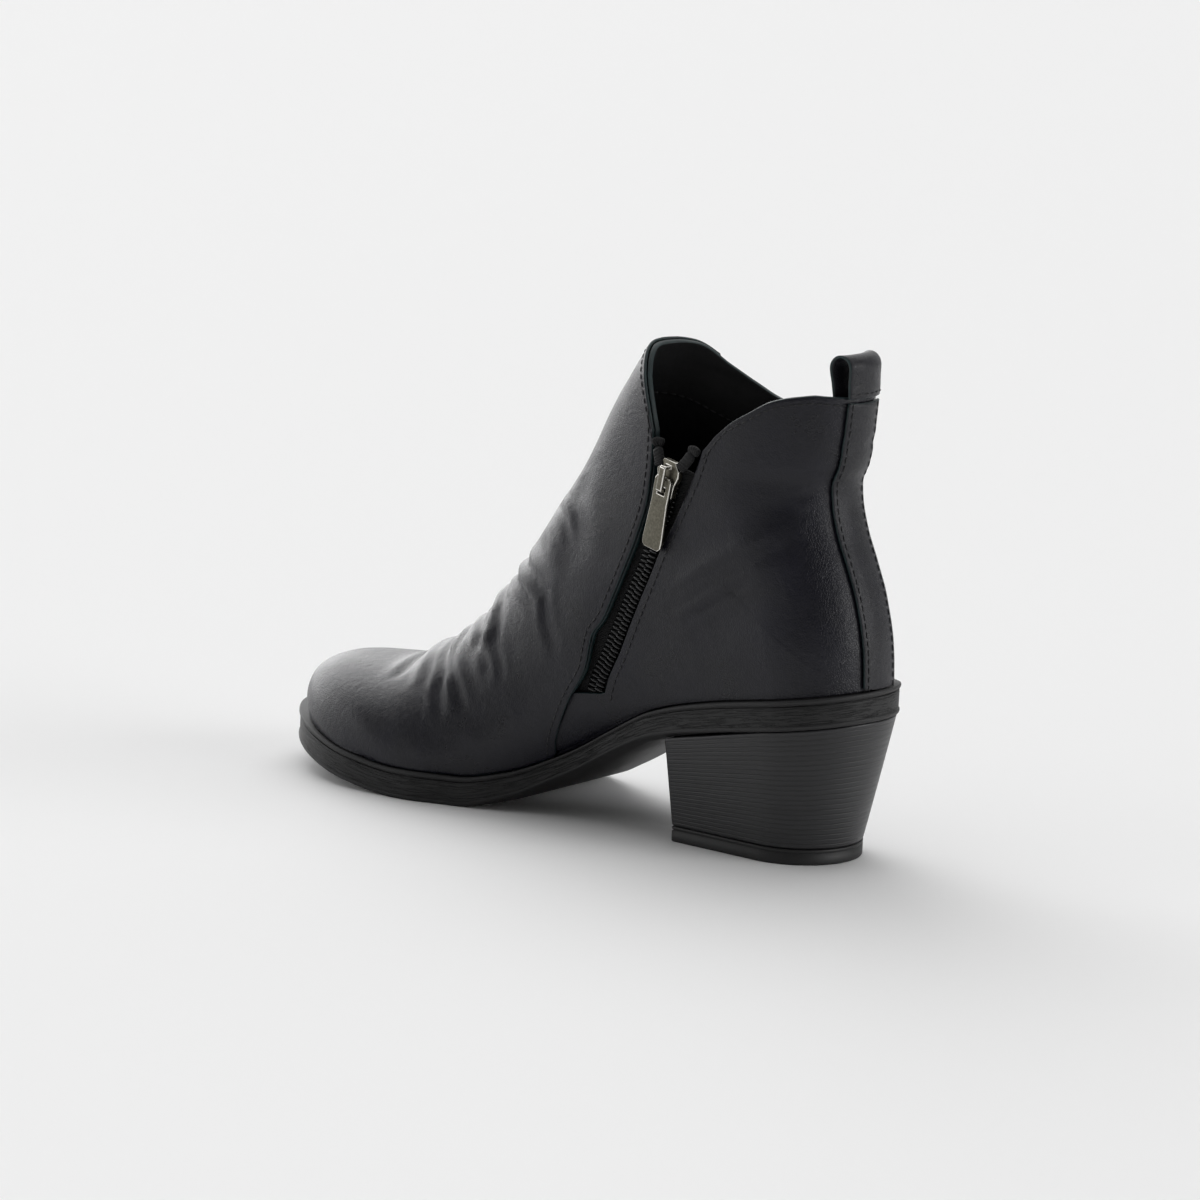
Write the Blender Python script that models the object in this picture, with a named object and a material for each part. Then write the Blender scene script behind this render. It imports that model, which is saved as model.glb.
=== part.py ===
# Zip ankle boot, right foot, about size 38, on a 56 mm block heel.
# Metres. +X runs to the toe, +Y to the wearer's left, which is the inner side with the zip, +Z is up.
# The origin is the middle of the heel's rest face on the floor.
import bmesh
import bpy
import numpy as np
from mathutils import Matrix, Vector

for item in list(bpy.data.objects):
    bpy.data.objects.remove(item, do_unlink=True)

mm = 0.001

# The sole
sole_length = 263 * mm
ball_width = 92.4 * mm
seat_width = 65 * mm
toe_swing = 10.8 * mm
sole_thickness = 11.5 * mm
heel_height = 56 * mm
toe_spring = 10.7 * mm
edge_bevel = 1.2 * mm
waist_bevel = 1.5
waist_bevel_fade = 30 * mm
groove_depth = 0.6 * mm

# The heel
heel_set_back = 11.7 * mm
heel_base_length = 64.5 * mm
heel_base_width = 50.7 * mm
heel_top_length = 77 * mm
heel_top_inset = 1.0 * mm
cap_thickness = 5.9 * mm
lift_groove = 0.5 * mm
lift_count = 5
lift_groove_share = 0.12
heel_round_share = 0.7

# The upper
wall = 2.0 * mm
overlay = 1.1 * mm
overlay_gap = 0.5 * mm
back_height = 106.5 * mm
upper_height = 150 * mm
flange = 1.2 * mm
toe_flange = 5.7 * mm
insole_thickness = 2.0 * mm
insole_clearance = 2.0 * mm
insole_lift = 0.6 * mm
seat_gap = 0.5 * mm
strip_width = 19 * mm
heel_round_top = 44 * mm
flare_rise = 24 * mm

# The zip
tape_thickness = 0.8 * mm
tape_lap = 3.0 * mm
tape_gap = 0.9 * mm
chain_width = 6.8 * mm
chain_thickness = 2.1 * mm
chain_margin = 1.5 * mm
zip_lean = 20 * mm
zip_lean_from = 0.35
slot_corner = 1.5 * mm
slot_inner_side = 8 * mm
slider_width = 11.6 * mm
slider_length = 14.0 * mm
slider_thickness = 2.6 * mm
bridge_width = 2.9 * mm
bridge_bar = 1.2 * mm
bridge_gap = 2.1 * mm
bridge_length = 10.2 * mm
bridge_chamfer = 0.6 * mm
tab_length = 27.5 * mm
tab_width = 10.2 * mm
tab_thickness = 1.3 * mm
tab_side_play = 0.5 * mm
tab_end_play = 1.2 * mm

# The loop
loop_rise = 15.5 * mm
loop_radius = 4.4 * mm
loop_leg = 11 * mm
loop_pinch = 0.35

gap = 0.3 * mm

sole_back = -heel_set_back - heel_base_length / 2
overlay_drop = overlay + overlay_gap
upper_outer = -overlay_drop
upper_inner = -overlay_drop - wall

# Sole in plan, along its length: half widths as shares of seat and ball widths
# along, seat share inner, ball share inner, seat share outer, ball share outer
plan = [
    (0.00, .500, .000, .500, .000),
    (0.12, .500, .000, .500, .000),
    (0.25, .490, .000, .500, .000),
    (0.42, .420, .000, .482, .000),
    (0.55, .000, .369, .000, .430),
    (0.65, .000, .462, .000, .500),
    (0.71, .000, .500, .000, .496),
    (0.80, .000, .490, .000, .472),
    (0.90, .000, .452, .000, .402),
    (1.00, .000, .365, .000, .300),
]
toe_from = 0.78
toe_power = 2.2

# How far the middle line swings to the inner side: along, share of toe_swing
swing_table = [(0.0, 0.0), (0.3, 0.0), (0.6, 0.2), (0.8, 0.6), (1.0, 1.0)]

# Sole from the side: along, share of heel_height, share of toe_spring, share of sole_thickness at the edge
profile = [
    (0.00, 1.000, 0.00, 1.00),
    (0.12, 0.904, 0.00, 1.00),
    (0.22, 0.811, 0.00, 0.97),
    (0.32, 0.673, 0.00, 0.85),
    (0.40, 0.464, 0.00, 0.74),
    (0.48, 0.239, 0.00, 0.74),
    (0.56, 0.066, 0.00, 0.86),
    (0.63, 0.000, 0.00, 1.00),
    (0.72, 0.000, 0.00, 1.00),
    (0.82, 0.000, 0.27, 1.00),
    (0.92, 0.000, 0.72, 1.00),
    (1.00, 0.000, 1.00, 1.00),
]

# The sole's side from below: share of the edge's thickness, share of groove_depth taken in
side_steps = [
    (0.12, 0.0), (0.27, 0.0), (0.32, 1.0), (0.37, 0.0), (0.51, 0.0), (0.56, 1.0), (0.61, 0.0),
    (0.75, 0.0), (0.80, 1.2), (0.85, 0.0), (1.00, 0.0),
]

# Back of the upper: share of back_height, share of sole_length ahead of the sole's back
back_line = [
    (0.00, flange / sole_length), (0.12, .008), (0.30, .024), (0.42, .043), (0.52, .061),
    (0.63, .073), (0.69, .075), (0.76, .065), (0.89, .058), (1.00, .054),
]

# Sections of the upper, from the toe's edge over the foot and up the leg. Each is an arch that stands
# on the sole's edge, or on the back line, and leans to a point on the ridge.
# foot along, foot up the back, ridge along, ridge above the sole's edge as a share of upper_height,
# half width inner and outer as shares of ball_width, widest at this share of the arch, squareness above
# and below the widest place
sections = [
    (0.800, 0.00, 0.979, 0.004, 0.468, 0.446, 0.00, 1.80, 2.0),
    (0.785, 0.00, 0.986, 0.048, 0.472, 0.452, 0.01, 1.80, 2.0),
    (0.765, 0.00, 0.970, 0.107, 0.478, 0.461, 0.04, 1.85, 2.0),
    (0.740, 0.00, 0.930, 0.155, 0.487, 0.474, 0.10, 1.95, 2.0),
    (0.705, 0.00, 0.871, 0.186, 0.494, 0.487, 0.18, 2.05, 2.0),
    (0.660, 0.00, 0.809, 0.218, 0.487, 0.492, 0.22, 2.05, 2.0),
    (0.600, 0.00, 0.746, 0.294, 0.455, 0.476, 0.24, 1.95, 2.0),
    (0.520, 0.00, 0.679, 0.395, 0.411, 0.433, 0.26, 1.90, 2.1),
    (0.430, 0.00, 0.624, 0.532, 0.373, 0.395, 0.28, 1.90, 2.2),
    (0.330, 0.00, 0.578, 0.654, 0.357, 0.368, 0.30, 1.90, 2.4),
    (0.220, 0.00, 0.540, 0.737, 0.352, 0.357, 0.33, 1.90, 2.5),
    (0.120, 0.00, 0.519, 0.785, 0.352, 0.352, 0.36, 1.95, 2.6),
    (0.055, 0.00, 0.506, 0.820, 0.350, 0.350, 0.38, 2.00, 2.6),
    (0.022, 0.00, 0.498, 0.845, 0.348, 0.348, 0.39, 2.00, 2.6),
    (0.000, 0.00, 0.492, 0.863, 0.346, 0.346, 0.40, 2.00, 2.6),
    (0.000, 0.30, 0.468, 0.917, 0.337, 0.337, 0.43, 2.00, 2.4),
    (0.000, 0.62, 0.443, 0.959, 0.330, 0.330, 0.46, 2.00, 2.2),
    (0.000, 1.00, 0.419, 0.995, 0.328, 0.328, 0.50, 2.00, 2.1),
]
heel_row = 14
toe_blend_rows = 3
heel_blend_from = 9
heel_blend_rows = 3

# Collar seen from each side: share of sole_length ahead, share of back_height above the seat
collar_inner = [
    (.052, 1.00), (.084, 1.011), (.118, 1.00), (.150, .978), (.182, .932), (.213, .885),
    (.236, .834), (.262, .772), (.346, .785), (.372, .900), (.399, 1.026), (.414, 1.082), (.430, 1.10),
]
collar_outer = [
    (.052, 1.00), (.095, .992), (.152, .945), (.209, .889), (.247, .875), (.281, .894),
    (.319, .938), (.359, .998), (.399, 1.078), (.430, 1.10),
]

# Edge of the vamp from the sole up to the collar, on both sides: share of back_height above the sole's
# back edge level, share of sole_length ahead
vamp_edge = [
    (-.46, .497), (-.37, .487), (-.26, .470), (-.165, .454), (-.055, .432), (.066, .425), (.122, .410),
    (.230, .394), (.333, .380), (.451, .365), (.554, .355), (.631, .353), (.693, .358), (.780, .348),
    (1.02, .372), (1.14, .400),
]

# Hind edge of the zip's opening: share of back_height, share of sole_length ahead
slot_hind_edge = [
    (-.155, .402), (-.09, .395), (.012, .378), (.212, .350), (.303, .336), (.406, .321), (.554, .294),
    (.714, .266), (.781, .257), (.90, .245),
]
slot_foot = -.160
slot_top = .90


def smooth(table, value_column, x, along_column=0):
    """Monotone cubic curve through two columns of a table."""
    xs = np.array([row[along_column] for row in table], float)
    ys = np.array([row[value_column] for row in table], float)
    steps = np.diff(xs)
    slopes = np.diff(ys) / steps
    tangents = np.zeros(len(xs))
    for i in range(1, len(xs) - 1):
        before, after = slopes[i - 1], slopes[i]
        if before * after > 0:
            w_before = 2 * steps[i] + steps[i - 1]
            w_after = steps[i] + 2 * steps[i - 1]
            tangents[i] = (w_before + w_after) / (w_before / before + w_after / after)
    tangents[0] = slopes[0]
    tangents[-1] = slopes[-1]
    x = np.clip(np.asarray(x, float), xs[0], xs[-1])
    i = np.clip(np.searchsorted(xs, x, side="right") - 1, 0, len(xs) - 2)
    t = (x - xs[i]) / steps[i]
    rise = steps[i] * (t * (1 - t) ** 2 * tangents[i] - t * t * (1 - t) * tangents[i + 1])
    return (1 + 2 * t) * (1 - t) ** 2 * ys[i] + t * t * (3 - 2 * t) * ys[i + 1] + rise


def swing(ahead):
    """Offset of the middle line to the inner side."""
    return toe_swing * smooth(swing_table, 1, ahead / sole_length)


def straight_width(ahead, inner):
    """Half width of the sole in plan, before its heel and toe are rounded."""
    share = ahead / sole_length
    first = 1 if inner else 3
    return seat_width * smooth(plan, first, share) + ball_width * smooth(plan, first + 1, share)


def half_width(ahead, inner, inset=0.0, toe_inset=0.0):
    """Half width of the sole's outline, taken in by an inset."""
    base = straight_width(ahead, inner) - inset
    heel_radius = seat_width / 2 - inset
    heel = 1 - np.clip(1 - (ahead - inset) / heel_radius, 0, 1) ** 2
    toe_start = toe_from * sole_length
    reach = np.clip((ahead - toe_start) / (sole_length - toe_inset - toe_start), 0, 1)
    return base * np.sqrt(np.clip(heel, 0, 1)) * np.sqrt(1 - reach ** toe_power)


def underside(ahead):
    """Height of the sole's underside."""
    share = ahead / sole_length
    return heel_height * smooth(profile, 1, share) + toe_spring * smooth(profile, 2, share)


def rim(ahead):
    """Height of the sole's top edge."""
    return underside(ahead) + sole_thickness


def section_value(row, column):
    """Value of a section column at a fractional row."""
    numbered = [(i,) + values for i, values in enumerate(sections)]
    return smooth(numbered, column + 1, row)


def section_line(row):
    """Foot and ridge of a section in the side view."""
    on_back = row > heel_row
    seat = rim(np.array(flange)) + gap
    foot = section_value(row, 0) * sole_length + flange
    rise = section_value(row, 1)
    foot_x = np.where(on_back, smooth(back_line, 1, rise) * sole_length, foot)
    foot_z = np.where(on_back, seat + rise * back_height, rim(foot) + gap)
    ridge_x = section_value(row, 2) * sole_length
    ridge_z = rim(ridge_x) + section_value(row, 3) * upper_height
    return foot_x, foot_z, ridge_x, ridge_z


def heel_out(x, z, width, inner):
    """Distance from the middle at the back of the upper, round in each level section."""
    rise = np.clip((z - rim(np.array(flange)) - gap) / back_height, 0, 1)
    back = np.where(rise > 0, smooth(back_line, 1, rise) * sole_length, flange)
    back = np.maximum(back, flange)
    low_round = seat_width / 2 - flange
    reach = low_round + (heel_round_top - low_round) * rise
    flare = np.clip((z - rim(x)) / flare_rise, 0, 1)
    base = straight_width(x, inner) - flange
    full = base + (width - base) * flare * flare * (3 - 2 * flare)
    turned = 1 - np.clip((x - back) / reach, 0, 1)
    return full * np.sqrt(np.clip(1 - turned ** 2, 0, 1))


def form(row, across):
    """Outermost surface of the upper. across runs from -1 on the outer side over the ridge to 1."""
    row, across = np.broadcast_arrays(np.asarray(row, float), np.asarray(across, float))
    foot_x, foot_z, ridge_x, ridge_z = section_line(row)
    length = np.hypot(ridge_x - foot_x, ridge_z - foot_z)
    widest = section_value(row, 6) * length
    power_above = 2 / section_value(row, 7)
    power_below = 2 / section_value(row, 8)
    on_toe = np.clip(1 - row / toe_blend_rows, 0, 1) ** 2
    on_heel = np.clip((row - heel_blend_from) / heel_blend_rows, 0, 1)
    on_heel = on_heel * on_heel * (3 - 2 * on_heel)
    result = np.zeros(row.shape + (3,))
    for inner in (True, False):
        width = section_value(row, 4 if inner else 5) * ball_width
        foot_y = np.where(row > heel_row, 0, half_width(foot_x, inner, flange, toe_flange))
        foot_y = np.minimum(foot_y, width)
        end = np.pi - np.arcsin((foot_y / width) ** (1 / power_below))
        angle = np.abs(across) * end
        cosine = np.abs(np.cos(angle))
        low_end = np.maximum(np.abs(np.cos(end)), 1e-9)
        above = widest + (length - widest) * cosine ** power_above
        below = widest * (1 - (cosine / low_end) ** power_below)
        front = angle <= np.pi / 2
        up = np.where(front, above, below)
        out = width * np.abs(np.sin(angle)) ** np.where(front, power_above, power_below)
        x = foot_x + (ridge_x - foot_x) * up / length
        z = foot_z + (ridge_z - foot_z) * up / length
        out = out + (half_width(x, inner, flange, toe_flange) - out) * on_toe
        out = out + (heel_out(x, z, width, inner) - out) * on_heel * (angle > np.pi / 2)
        y = swing(x) + (out if inner else -out)
        chosen = (across >= 0) == inner
        result = np.where(chosen[..., None], np.stack([x, y, z], -1), result)
    return result


def skin(row, across, depth):
    """Surface parallel to the form, with its foot kept on the sole's top."""
    row, across = np.broadcast_arrays(np.asarray(row, float), np.asarray(across, float))
    step = 1e-3
    row_step = 0.03
    last = len(sections) - 1
    row_low = np.clip(row - row_step, 0, last)
    row_high = np.clip(row + row_step, 0, last)
    side_low = np.clip(across - step, -1, 1)
    side_high = np.clip(across + step, -1, 1)
    along = form(row_high, across) - form(row_low, across)
    sideways = form(row, side_high) - form(row, side_low)
    normal = np.cross(sideways, along)
    seam = (np.abs(across) > 1 - 1e-9) & (row >= heel_row)
    normal[..., 1] = np.where(seam, 0, normal[..., 1])
    normal /= np.maximum(np.linalg.norm(normal, axis=-1, keepdims=True), 1e-12)
    point = form(row, across) + normal * depth
    floor = rim(point[..., 0]) + seat_gap
    on_feather = (row < 1e-9) | ((np.abs(across) > 1 - 1e-9) & (row <= heel_row))
    point[..., 2] = np.where(on_feather, floor, np.maximum(point[..., 2], floor))
    return point


def bisect(function, low, high, turns=40):
    """Where a function that is positive at low turns negative, for whole arrays."""
    low = np.array(low, float)
    high = np.array(high, float)
    for _ in range(turns):
        middle = (low + high) / 2
        positive = function(middle) > 0
        low = np.where(positive, middle, low)
        high = np.where(positive, high, middle)
    return (low + high) / 2


def collar_row(across):
    """Row at which the upper ends for a place around it."""
    seat = rim(np.array(flange)) + gap

    def below_collar(row):
        point = form(row, across)
        ahead = point[..., 0] / sole_length
        table = smooth(collar_inner, 1, ahead)
        level = np.where(across >= 0, table, smooth(collar_outer, 1, ahead))
        return seat + level * back_height - point[..., 2]

    across = np.asarray(across, float)
    start = np.full(across.shape, float(heel_row))
    rows = bisect(below_collar, start, start * 0 + len(sections) - 1)
    return np.where(np.abs(across) > 1 - 1e-9, len(sections) - 1, rows)


def vamp_reach(row, inner):
    """How far round the vamp reaches in a section."""
    seat = rim(np.array(flange))
    sign = 1 if inner else -1

    def ahead_of_edge(across):
        point = form(row, sign * across)
        edge = smooth(vamp_edge, 1, (point[..., 2] - seat) / back_height) * sole_length
        return point[..., 0] - edge

    return bisect(ahead_of_edge, np.zeros_like(row), np.ones_like(row))


def inner_side(x, z):
    """Row and place around of a point of the inner side, seen from the side."""
    def ahead(row):
        foot_x, foot_z, ridge_x, ridge_z = section_line(row)
        return (z - foot_z) * (ridge_x - foot_x) - (x - foot_x) * (ridge_z - foot_z)

    row = bisect(ahead, np.full(np.shape(x), 1.0), np.full(np.shape(x), len(sections) - 1.0))

    def short(across):
        foot_x, foot_z, ridge_x, ridge_z = section_line(row)
        point = form(row, across)
        aim = (x - foot_x) * (ridge_x - foot_x) + (z - foot_z) * (ridge_z - foot_z)
        got = (point[..., 0] - foot_x) * (ridge_x - foot_x) + (point[..., 2] - foot_z) * (ridge_z - foot_z)
        return got - aim

    return row, bisect(short, np.zeros(np.shape(x)), np.ones(np.shape(x)))


def material(name, color, roughness, metallic=0.0):
    """Plain material of one piece."""
    made = bpy.data.materials.new(name)
    made.use_nodes = True
    shader = made.node_tree.nodes["Principled BSDF"]
    shader.inputs["Base Color"].default_value = (*color, 1)
    shader.inputs["Roughness"].default_value = roughness
    shader.inputs["Metallic"].default_value = metallic
    return made


leather = material("black leather", (.012, .012, .016), .42)
edge_leather = material("back strip leather", (.013, .013, .018), .45)
lining = material("insole board", (.015, .015, .015), .8)
rubber = material("sole rubber", (.02, .02, .022), .62)
stack = material("heel stack", (.018, .018, .02), .5)
tape_cloth = material("zip tape", (.01, .01, .011), .85)
coil = material("zip coil", (.012, .012, .014), .35)
metal = material("antique nickel", (.32, .31, .29), .32, 1.0)


def add_object(name, vertices, faces, finish, round_piece=True):
    """Closed body placed at the sole's back."""
    mesh = bpy.data.meshes.new(name)
    mesh.from_pydata([tuple(v) for v in vertices], [], faces)
    work = bmesh.new()
    work.from_mesh(mesh)
    bmesh.ops.recalc_face_normals(work, faces=work.faces)
    work.to_mesh(mesh)
    work.free()
    if round_piece:
        mesh.shade_smooth()
        mesh.set_sharp_from_angle(angle=np.radians(35))
    mesh.materials.append(finish)
    made = bpy.data.objects.new(name, mesh)
    made.location.x = sole_back
    bpy.context.scene.collection.objects.link(made)
    return made


def shell(name, outer, inner, finish, seam_from=None):
    """Solid between two surfaces with the same grid, open at the grid's rims."""
    rows, columns = outer.shape[:2]
    index = np.arange(rows * columns).reshape(rows, columns)
    if seam_from is not None:
        index[seam_from:, -1] = index[seam_from:, 0]
    used = np.unique(index)
    renumber = np.zeros(rows * columns, int)
    renumber[used] = np.arange(len(used))
    index = renumber[index]
    count = len(used)
    points = np.concatenate([outer.reshape(-1, 3)[used], inner.reshape(-1, 3)[used]])
    faces = []
    edges = {}
    for i in range(rows - 1):
        for j in range(columns - 1):
            face = [int(v) for v in (index[i, j], index[i, j + 1], index[i + 1, j + 1], index[i + 1, j])]
            for corners in ((0, 1, 2), (0, 2, 3)):
                half = [face[corner] for corner in corners]
                faces.append(half)
                faces.append([v + count for v in reversed(half)])
            for a, b in zip(face, face[1:] + face[:1]):
                key = (min(a, b), max(a, b))
                edges[key] = edges.get(key, 0) + 1
    for (a, b), uses in edges.items():
        if uses == 1:
            faces.append([a, b, b + count, a + count])
    return add_object(name, points, faces, finish)


def stacked(name, rings, pointed, finish):
    """Solid from rings that run from the back along the inner side and return along the outer side."""
    size = len(rings[0])
    points = np.concatenate(rings)
    faces = []
    for level in range(len(rings) - 1):
        for i in range(size):
            after = (i + 1) % size
            low = level * size
            faces.append([low + i, low + after, low + size + after, low + size + i])
    half = size // 2
    for base in (0, (len(rings) - 1) * size):
        faces.append([base, base + 1, base + size - 1])
        for i in range(1, half - 1 if pointed else half):
            faces.append([base + i, base + i + 1, base + size - i - 1, base + size - i])
        if pointed:
            faces.append([base + half - 1, base + half, base + half + 1])
    return add_object(name, points, faces, finish)


outline_steps = 34


def outline_ring(inset, height, toe_inset=None, back_inset=None):
    """Ring around the sole's outline at a height that is a function of the place along it."""
    toe_inset = inset if toe_inset is None else toe_inset
    turn = np.linspace(0, np.pi, outline_steps + 1)
    start = inset
    end = sole_length - toe_inset
    ahead = start + (end - start) * (1 - np.cos(turn)) / 2
    sides = []
    for inner in (True, False):
        width = half_width(ahead, inner, inset, toe_inset)
        y = swing(ahead) + (width if inner else -width)
        sides.append(np.stack([ahead, y, height(ahead)], 1))
    return np.concatenate([sides[0], sides[1][-2:0:-1]])


def edge_height(share):
    """Height on the sole's side for a share of its thickness."""
    def height(ahead):
        thickness = sole_thickness * smooth(profile, 3, ahead / sole_length)
        return rim(ahead) - thickness * (1 - share)
    return height


def outsole():
    """Moulded sole with its ribbed side, arch, toe spring and seat."""
    first = outline_ring(edge_bevel, underside)
    past_heel = np.clip((first[:, 0] - heel_top_length) / waist_bevel_fade, 0, 1)
    drop = (edge_height(0.0)(first[:, 0]) - first[:, 2]) * past_heel
    out = first[:, 1] - swing(first[:, 0])
    first[:, 1] -= np.sign(out) * np.minimum(waist_bevel * drop, np.abs(out) / 2)
    rings = [first]
    for share, taken in side_steps:
        rings.append(outline_ring(taken * groove_depth, edge_height(share)))
    return stacked("outsole", rings, True, rubber)


heel_steps = 13


def heel_ring(share, height, inset=0.0):
    """Ring of the heel block at a share of the way up. It is flat at the breast."""
    back = heel_set_back * (1 - share) + heel_top_inset * share + inset
    front = (heel_set_back + heel_base_length) * (1 - share) + heel_top_length * share - inset
    width = (heel_base_width * (1 - share) + (seat_width - 2 * heel_top_inset) * share) / 2 - inset
    round_length = min(width, (front - back) * heel_round_share)
    turn = np.linspace(0, np.pi / 2, heel_steps)
    ahead = back + (1 - np.cos(turn)) * round_length
    out = np.sin(turn) * width
    ahead = np.append(ahead, front)
    out = np.append(out, width)
    inner = np.stack([ahead, out, height(ahead)], 1)
    outer = inner[:0:-1] * np.array([1, -1, 1])
    return np.concatenate([inner, outer])


def level(value):
    """Height function that is the same everywhere."""
    return lambda ahead: np.full(np.shape(ahead), value)


def heel_block():
    """Stacked heel between the cap and the sole, with a groove between each two lifts."""
    bottom = cap_thickness + gap

    def slanted(share):
        return lambda ahead: bottom + (underside(ahead) - gap - bottom) * share

    rings = []
    for lift in range(lift_count):
        low = lift / lift_count
        high = (lift + 1) / lift_count
        thin = lift_groove_share / lift_count
        rings.append(heel_ring(low, slanted(low), lift_groove if lift else 0.0))
        rings.append(heel_ring(low + thin, slanted(low + thin)))
        rings.append(heel_ring(high - thin, slanted(high - thin)))
    rings.append(heel_ring(1.0, slanted(1.0)))
    return stacked("heel_block", rings, False, stack)


def heel_cap():
    """Flat cap that the heel rests on."""
    rings = [heel_ring(0.0, level(0.0), edge_bevel / 3), heel_ring(0.0, level(edge_bevel / 3))]
    rings.append(heel_ring(0.0, level(cap_thickness)))
    return stacked("heel_cap", rings, False, rubber)


def insole():
    """Board that the foot stands on, inside the upper."""
    inset = flange + overlay_drop + wall + insole_clearance
    toe_inset = toe_flange + overlay_drop + wall + insole_clearance

    def bottom(ahead):
        return rim(ahead) + insole_lift

    def top(ahead):
        return rim(ahead) + insole_lift + insole_thickness

    rings = [outline_ring(inset, bottom, toe_inset), outline_ring(inset, top, toe_inset)]
    return stacked("insole", rings, True, lining)


columns = 23
leg_rows = 10
leg_shares = np.linspace(0, 1, leg_rows + 1)[1:]
low_rows = np.concatenate([
    np.linspace(0, 4, 6, endpoint=False),
    np.linspace(4, 7, 4, endpoint=False),
    [7.0, 7.45, 7.65, 7.9, 8.2, 8.6, 9.1, 9.75, 10.5, 11.25],
    [12.0, 12.6, 13.1, 13.5, 13.8, heel_row],
])


def upper_rows(across):
    """Rows of the grid from the sole's edge to the collar for each place around."""
    top = collar_row(across)
    low = np.repeat(low_rows[:, None], len(across), 1)
    return np.concatenate([low, heel_row + (top[None] - heel_row) * leg_shares[:, None]])


def upper():
    """One hollow wall, open at the collar, underneath and along the zip."""
    across = np.linspace(-1, 1, columns)
    rows = upper_rows(across)
    outer = skin(rows, across, upper_outer)
    inner = skin(rows, across, upper_inner)
    return shell("upper", outer, inner, leather, len(low_rows) - 1)


def slot_cutter():
    """Prism over the inner side with the shape of the zip's opening."""
    seat = float(rim(np.array(flange)))
    hind = [(ahead * sole_length, seat + up * back_height) for up, ahead in slot_hind_edge]
    front = []
    for up, ahead in reversed(vamp_edge):
        if slot_foot < up < slot_top:
            front.append((ahead * sole_length, seat + up * back_height))
    top = seat + slot_top * back_height
    foot_z = seat + slot_foot * back_height
    front_foot = float(smooth(vamp_edge, 1, slot_foot)) * sole_length
    corner = [(front[0][0], top)]
    path = hind + corner + front
    path += [(front_foot - slot_corner, foot_z), (hind[0][0] + slot_corner, foot_z)]
    count = len(path)
    near = slot_inner_side
    far = seat_width
    points = [(x, near, z) for x, z in path] + [(x, far, z) for x, z in path]
    faces = [list(range(count)), list(range(2 * count - 1, count - 1, -1))]
    for i in range(count):
        after = (i + 1) % count
        faces.append([i, after, count + after, count + i])
    made = add_object("slot_cutter", points, faces, leather, False)
    made.hide_render = True
    made.display_type = "WIRE"
    return made


def cut(target, cutter):
    """Exact cut that stays on the target."""
    change = target.modifiers.new("cut", "BOOLEAN")
    change.operation = "DIFFERENCE"
    change.solver = "EXACT"
    change.object = cutter


def vamp():
    """Front panel that lies over the upper's wall, up to its seam on each side."""
    part = np.linspace(0, 1, columns)

    def spread(rows):
        inner = vamp_reach(rows, True)
        outer = vamp_reach(rows, False)
        return -outer + (inner + outer) * part

    rows = np.repeat(low_rows[:, None], len(part), 1)
    top = np.full(len(part), len(sections) - 1.5)
    for _ in range(12):
        top = collar_row(spread(top))
    rows = np.concatenate([rows, heel_row + (top[None] - heel_row) * leg_shares[:, None]])
    across = spread(rows)
    outer = skin(rows, across, 0.0)
    inner = skin(rows, across, -overlay)
    return shell("vamp", outer, inner, leather)


def strip_place(rows, out):
    """Place around where the form is a given distance from the middle at the back."""
    rows, out = np.broadcast_arrays(np.asarray(rows, float), np.asarray(out, float))

    def within(around):
        point = form(rows, around)
        return np.abs(out) - point[..., 1] + swing(point[..., 0])

    place = bisect(within, np.ones(rows.shape), np.full(rows.shape, 0.6))
    return np.where(out == 0, 1.0, np.sign(out) * place)


strip_columns = 7
strip_top = 0.985


def back_strip():
    """Leather strip over the back seam."""
    shares = np.concatenate([[0], leg_shares[:-1], [strip_top]])
    rows = heel_row + (len(sections) - 1 - heel_row) * shares
    out = strip_width / 2 * np.linspace(-1, 1, strip_columns)
    rows = np.repeat(rows[:, None], strip_columns, 1)
    middle = strip_columns // 2
    out = np.repeat(out[None], len(rows), 0)
    across = strip_place(rows, out)
    across[:, middle] = 1
    outer = skin(rows, across, 0.0)
    inner = skin(rows, across, -overlay)
    return shell("back_strip", outer, inner, edge_leather)


def pull_loop():
    """Leather loop that stands over the collar at the back, open from side to side."""
    last = len(sections) - 1
    out = strip_width / 2 * np.linspace(-1, 1, strip_columns)
    out[strip_columns // 2] = 0
    row = np.full(strip_columns, float(last))
    place = strip_place(row, out)
    place[strip_columns // 2] = 1
    edge = skin(row, place, 0.0)
    curve = edge[:, 0] - edge[strip_columns // 2, 0]
    outer_x = edge[strip_columns // 2, 0] + overlay / 2
    base = float(rim(np.array(flange))) + gap + back_height
    inner_x = outer_x + overlay_drop + wall + 2 * gap + overlay
    leg_share = 1 - loop_leg / back_height
    leg_lean = float(smooth(back_line, 1, leg_share) - smooth(back_line, 1, 1.0)) * sole_length
    radius = max(loop_radius, (inner_x - outer_x) / 2)
    top = base + loop_rise - radius
    centre = outer_x + radius
    path = [(outer_x, base + gap)]
    for angle in np.radians(np.linspace(180, 0, 13)):
        path.append((centre + radius * np.cos(angle), top + radius * np.sin(angle)))
    path.append((inner_x + (centre + radius - inner_x) * loop_pinch, base + gap))
    path.append((inner_x + leg_lean, base - loop_leg))
    path = np.array(path)
    tangent = np.gradient(path, axis=0)
    normal = np.stack([-tangent[:, 1], tangent[:, 0]], 1)
    normal /= np.linalg.norm(normal, axis=1, keepdims=True)
    grids = []
    for offset in (overlay / 2, -overlay / 2):
        moved = path + normal * offset
        x = moved[:, 0][:, None] + curve[None]
        z = np.repeat(moved[:, 1][:, None], strip_columns, 1)
        y = np.repeat(edge[:, 1][None], len(path), 0)
        grids.append(np.stack([x, y, z], -1))
    return shell("pull_loop", grids[0], grids[1], edge_leather)


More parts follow.
